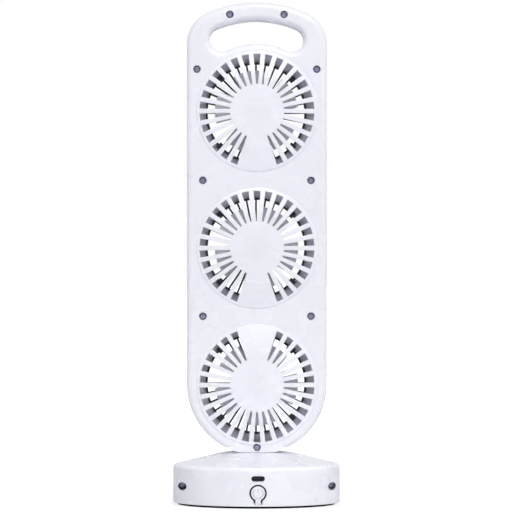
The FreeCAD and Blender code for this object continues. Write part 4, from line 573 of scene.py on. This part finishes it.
# %% The world
MIRRORED_WHITE = 0.45
FILL = 0.50
world = bpy.data.worlds.new("studio")
bpy.context.scene.world = world
world.use_nodes = True
world.node_tree.nodes.clear()
path = add_node(world, "ShaderNodeLightPath")
seen = math_node(world, "MAXIMUM", path.outputs["Is Camera Ray"], path.outputs["Is Transmission Ray"])
mirrored = math_node(world, "MULTIPLY", path.outputs["Is Glossy Ray"], MIRRORED_WHITE)
fill = add_node(world, "ShaderNodeBackground")
fill.inputs["Color"].default_value = (0.91, 0.92, 1.0, 1)
fill.inputs["Strength"].default_value = FILL
white = add_node(world, "ShaderNodeBackground")
white.inputs["Color"].default_value = (1, 1, 1, 1)
choice = add_node(world, "ShaderNodeMixShader")
result = add_node(world, "ShaderNodeOutputWorld")
for source, socket in zip((math_node(world, "MAXIMUM", seen, mirrored), fill.outputs[0], white.outputs[0]),
                          choice.inputs):
    link(world, source, socket)
link(world, choice.outputs[0], result.inputs[0])
print("world:", len(world.node_tree.nodes), "nodes")

# %% [markdown]
# The floor has to be white to the camera and still take the fan's shadow, so white light is mixed with a
# diffuse surface. The white's share grows with the distance from the fan: near the base the surface shows
# and keeps the shadow, and the far floor is as white as the backdrop. The mixed white is for the camera
# alone, so it throws no light on the fan.

# %% The floor
FLOOR_SIZE = 40
FLOOR_DROP = 0.0002
FLOOR_WHITE = 1.35
NEAR, FAR = 0.06, 0.50
NEAR_SHARE, FAR_SHARE = 0.55, 0.90
deselect()
bpy.ops.mesh.primitive_plane_add(size=FLOOR_SIZE, location=(0, 0, -FLOOR_DROP))
floor = bpy.context.object
floor.name = "floor"
settle(floor)
ground = new_finish("pale_floor", (0.74, 0.74, 0.77), 0.9, specular=0.1)
ground_white = add_node(ground, "ShaderNodeEmission")
ground_white.inputs["Color"].default_value = (1, 1, 1, 1)
ground_white.inputs["Strength"].default_value = FLOOR_WHITE
away_from_fan = add_node(ground, "ShaderNodeVectorMath", operation="LENGTH")
link(ground, object_place(ground), away_from_fan.inputs[0])
fade = add_node(ground, "ShaderNodeMapRange")
for name, value in zip(("From Min", "From Max", "To Min", "To Max"), (NEAR, FAR, NEAR_SHARE, FAR_SHARE)):
    fade.inputs[name].default_value = value
link(ground, away_from_fan.outputs["Value"], fade.inputs["Value"])
ground_path = add_node(ground, "ShaderNodeLightPath")
share_white = math_node(ground, "MULTIPLY", ground_path.outputs["Is Camera Ray"], fade.outputs["Result"])
ground_mix = add_node(ground, "ShaderNodeMixShader")
for source, socket in zip((share_white, shader_of(ground).outputs[0], ground_white.outputs[0]),
                          ground_mix.inputs):
    link(ground, source, socket)
link(ground, ground_mix.outputs[0], ground.node_tree.nodes["Material Output"].inputs["Surface"])
floor.data.materials.append(ground)
print("floor:", FLOOR_SIZE, "m wide")

# %% [markdown]
# ## The lamps
#
# The photograph's light is soft and comes from all around. One wide lamp high on the camera's side does most
# of the work. A smaller one lifts the tower's top, two at the sides lift its edges, and a low one brightens
# the slopes under the discs. A narrow one lights the base's right half, which is brighter in the photograph.
# The last stands before the fan and shines through the outlets, so that the slots aren't black. It is hidden
# from glossy rays, or the base's cone would mirror it. All are kept low, because white plastic soon clips.

# %% Seven soft lamps
MIDDLE_OF_FAN = Vector((0, 0, 0.18))
BASE_FRONT = Vector((0, -0.02, -0.01))


def soft_lamp(name, place, width, height, power, aim=MIDDLE_OF_FAN, spread=180):
    """A rectangular lamp. Sizes are in metres, the power in watts and the spread in degrees."""
    lamp = bpy.data.lights.new(name, "AREA")
    lamp.shape = "RECTANGLE"
    lamp.size = width
    lamp.size_y = height
    lamp.energy = power
    lamp.spread = math.radians(spread)
    holder = bpy.data.objects.new(name, lamp)
    bpy.context.scene.collection.objects.link(holder)
    holder.location = place
    holder.rotation_euler = (aim - Vector(place)).to_track_quat("-Z", "Y").to_euler()
    print(name, power, "W")
    return holder


soft_lamp("key_lamp", (0.50, -1.40, 2.00), 1.0, 0.7, 24)
soft_lamp("upper_lamp", (0.05, -1.00, 0.76), 0.5, 0.20, 1.9)
soft_lamp("left_lamp", (-1.60, -0.55, 0.45), 0.5, 0.9, 3.4)
soft_lamp("right_lamp", (1.60, -0.55, 0.45), 0.5, 0.9, 2.2)
soft_lamp("low_lamp", (0.02, -0.66, 0.03), 0.6, 0.03, 0.12)
soft_lamp("base_lamp", (0.22, -1.00, 0.30), 0.3, 0.1, 0.024, aim=BASE_FRONT, spread=20)
front = soft_lamp("front_lamp", (0.10, 0.90, 0.34), 0.4, 0.5, 3.0)
front.visible_glossy = False

# %% [markdown]
# ## The camera
#
# The photograph is level and taken from far away: the tower's sides stay parallel and the base's lower edge
# curves down by only a few pixels. A long lens 2.77 m behind the fan, at half its height, gives that view.
# It stands 5 cm to the left and turns back to the fan by one degree. The socket and the button then lie a
# little right of the base's middle, as they do in the photograph.

# %% The photograph's camera
LENS = 270
SENSOR = 36
CAMERA_PLACE = (-0.0520, -2.7655, 0.1783)
CAMERA_TURN = math.radians(-1.07)
eye = bpy.data.cameras.new("photo_camera")
eye.lens = LENS
eye.sensor_width = SENSOR
eye.clip_end = 50
camera = bpy.data.objects.new("photo_camera", eye)
bpy.context.scene.collection.objects.link(camera)
camera.location = CAMERA_PLACE
camera.rotation_euler = (math.pi / 2, 0, CAMERA_TURN)
bpy.context.scene.camera = camera
bpy.context.scene.view_settings.view_transform = "Standard"
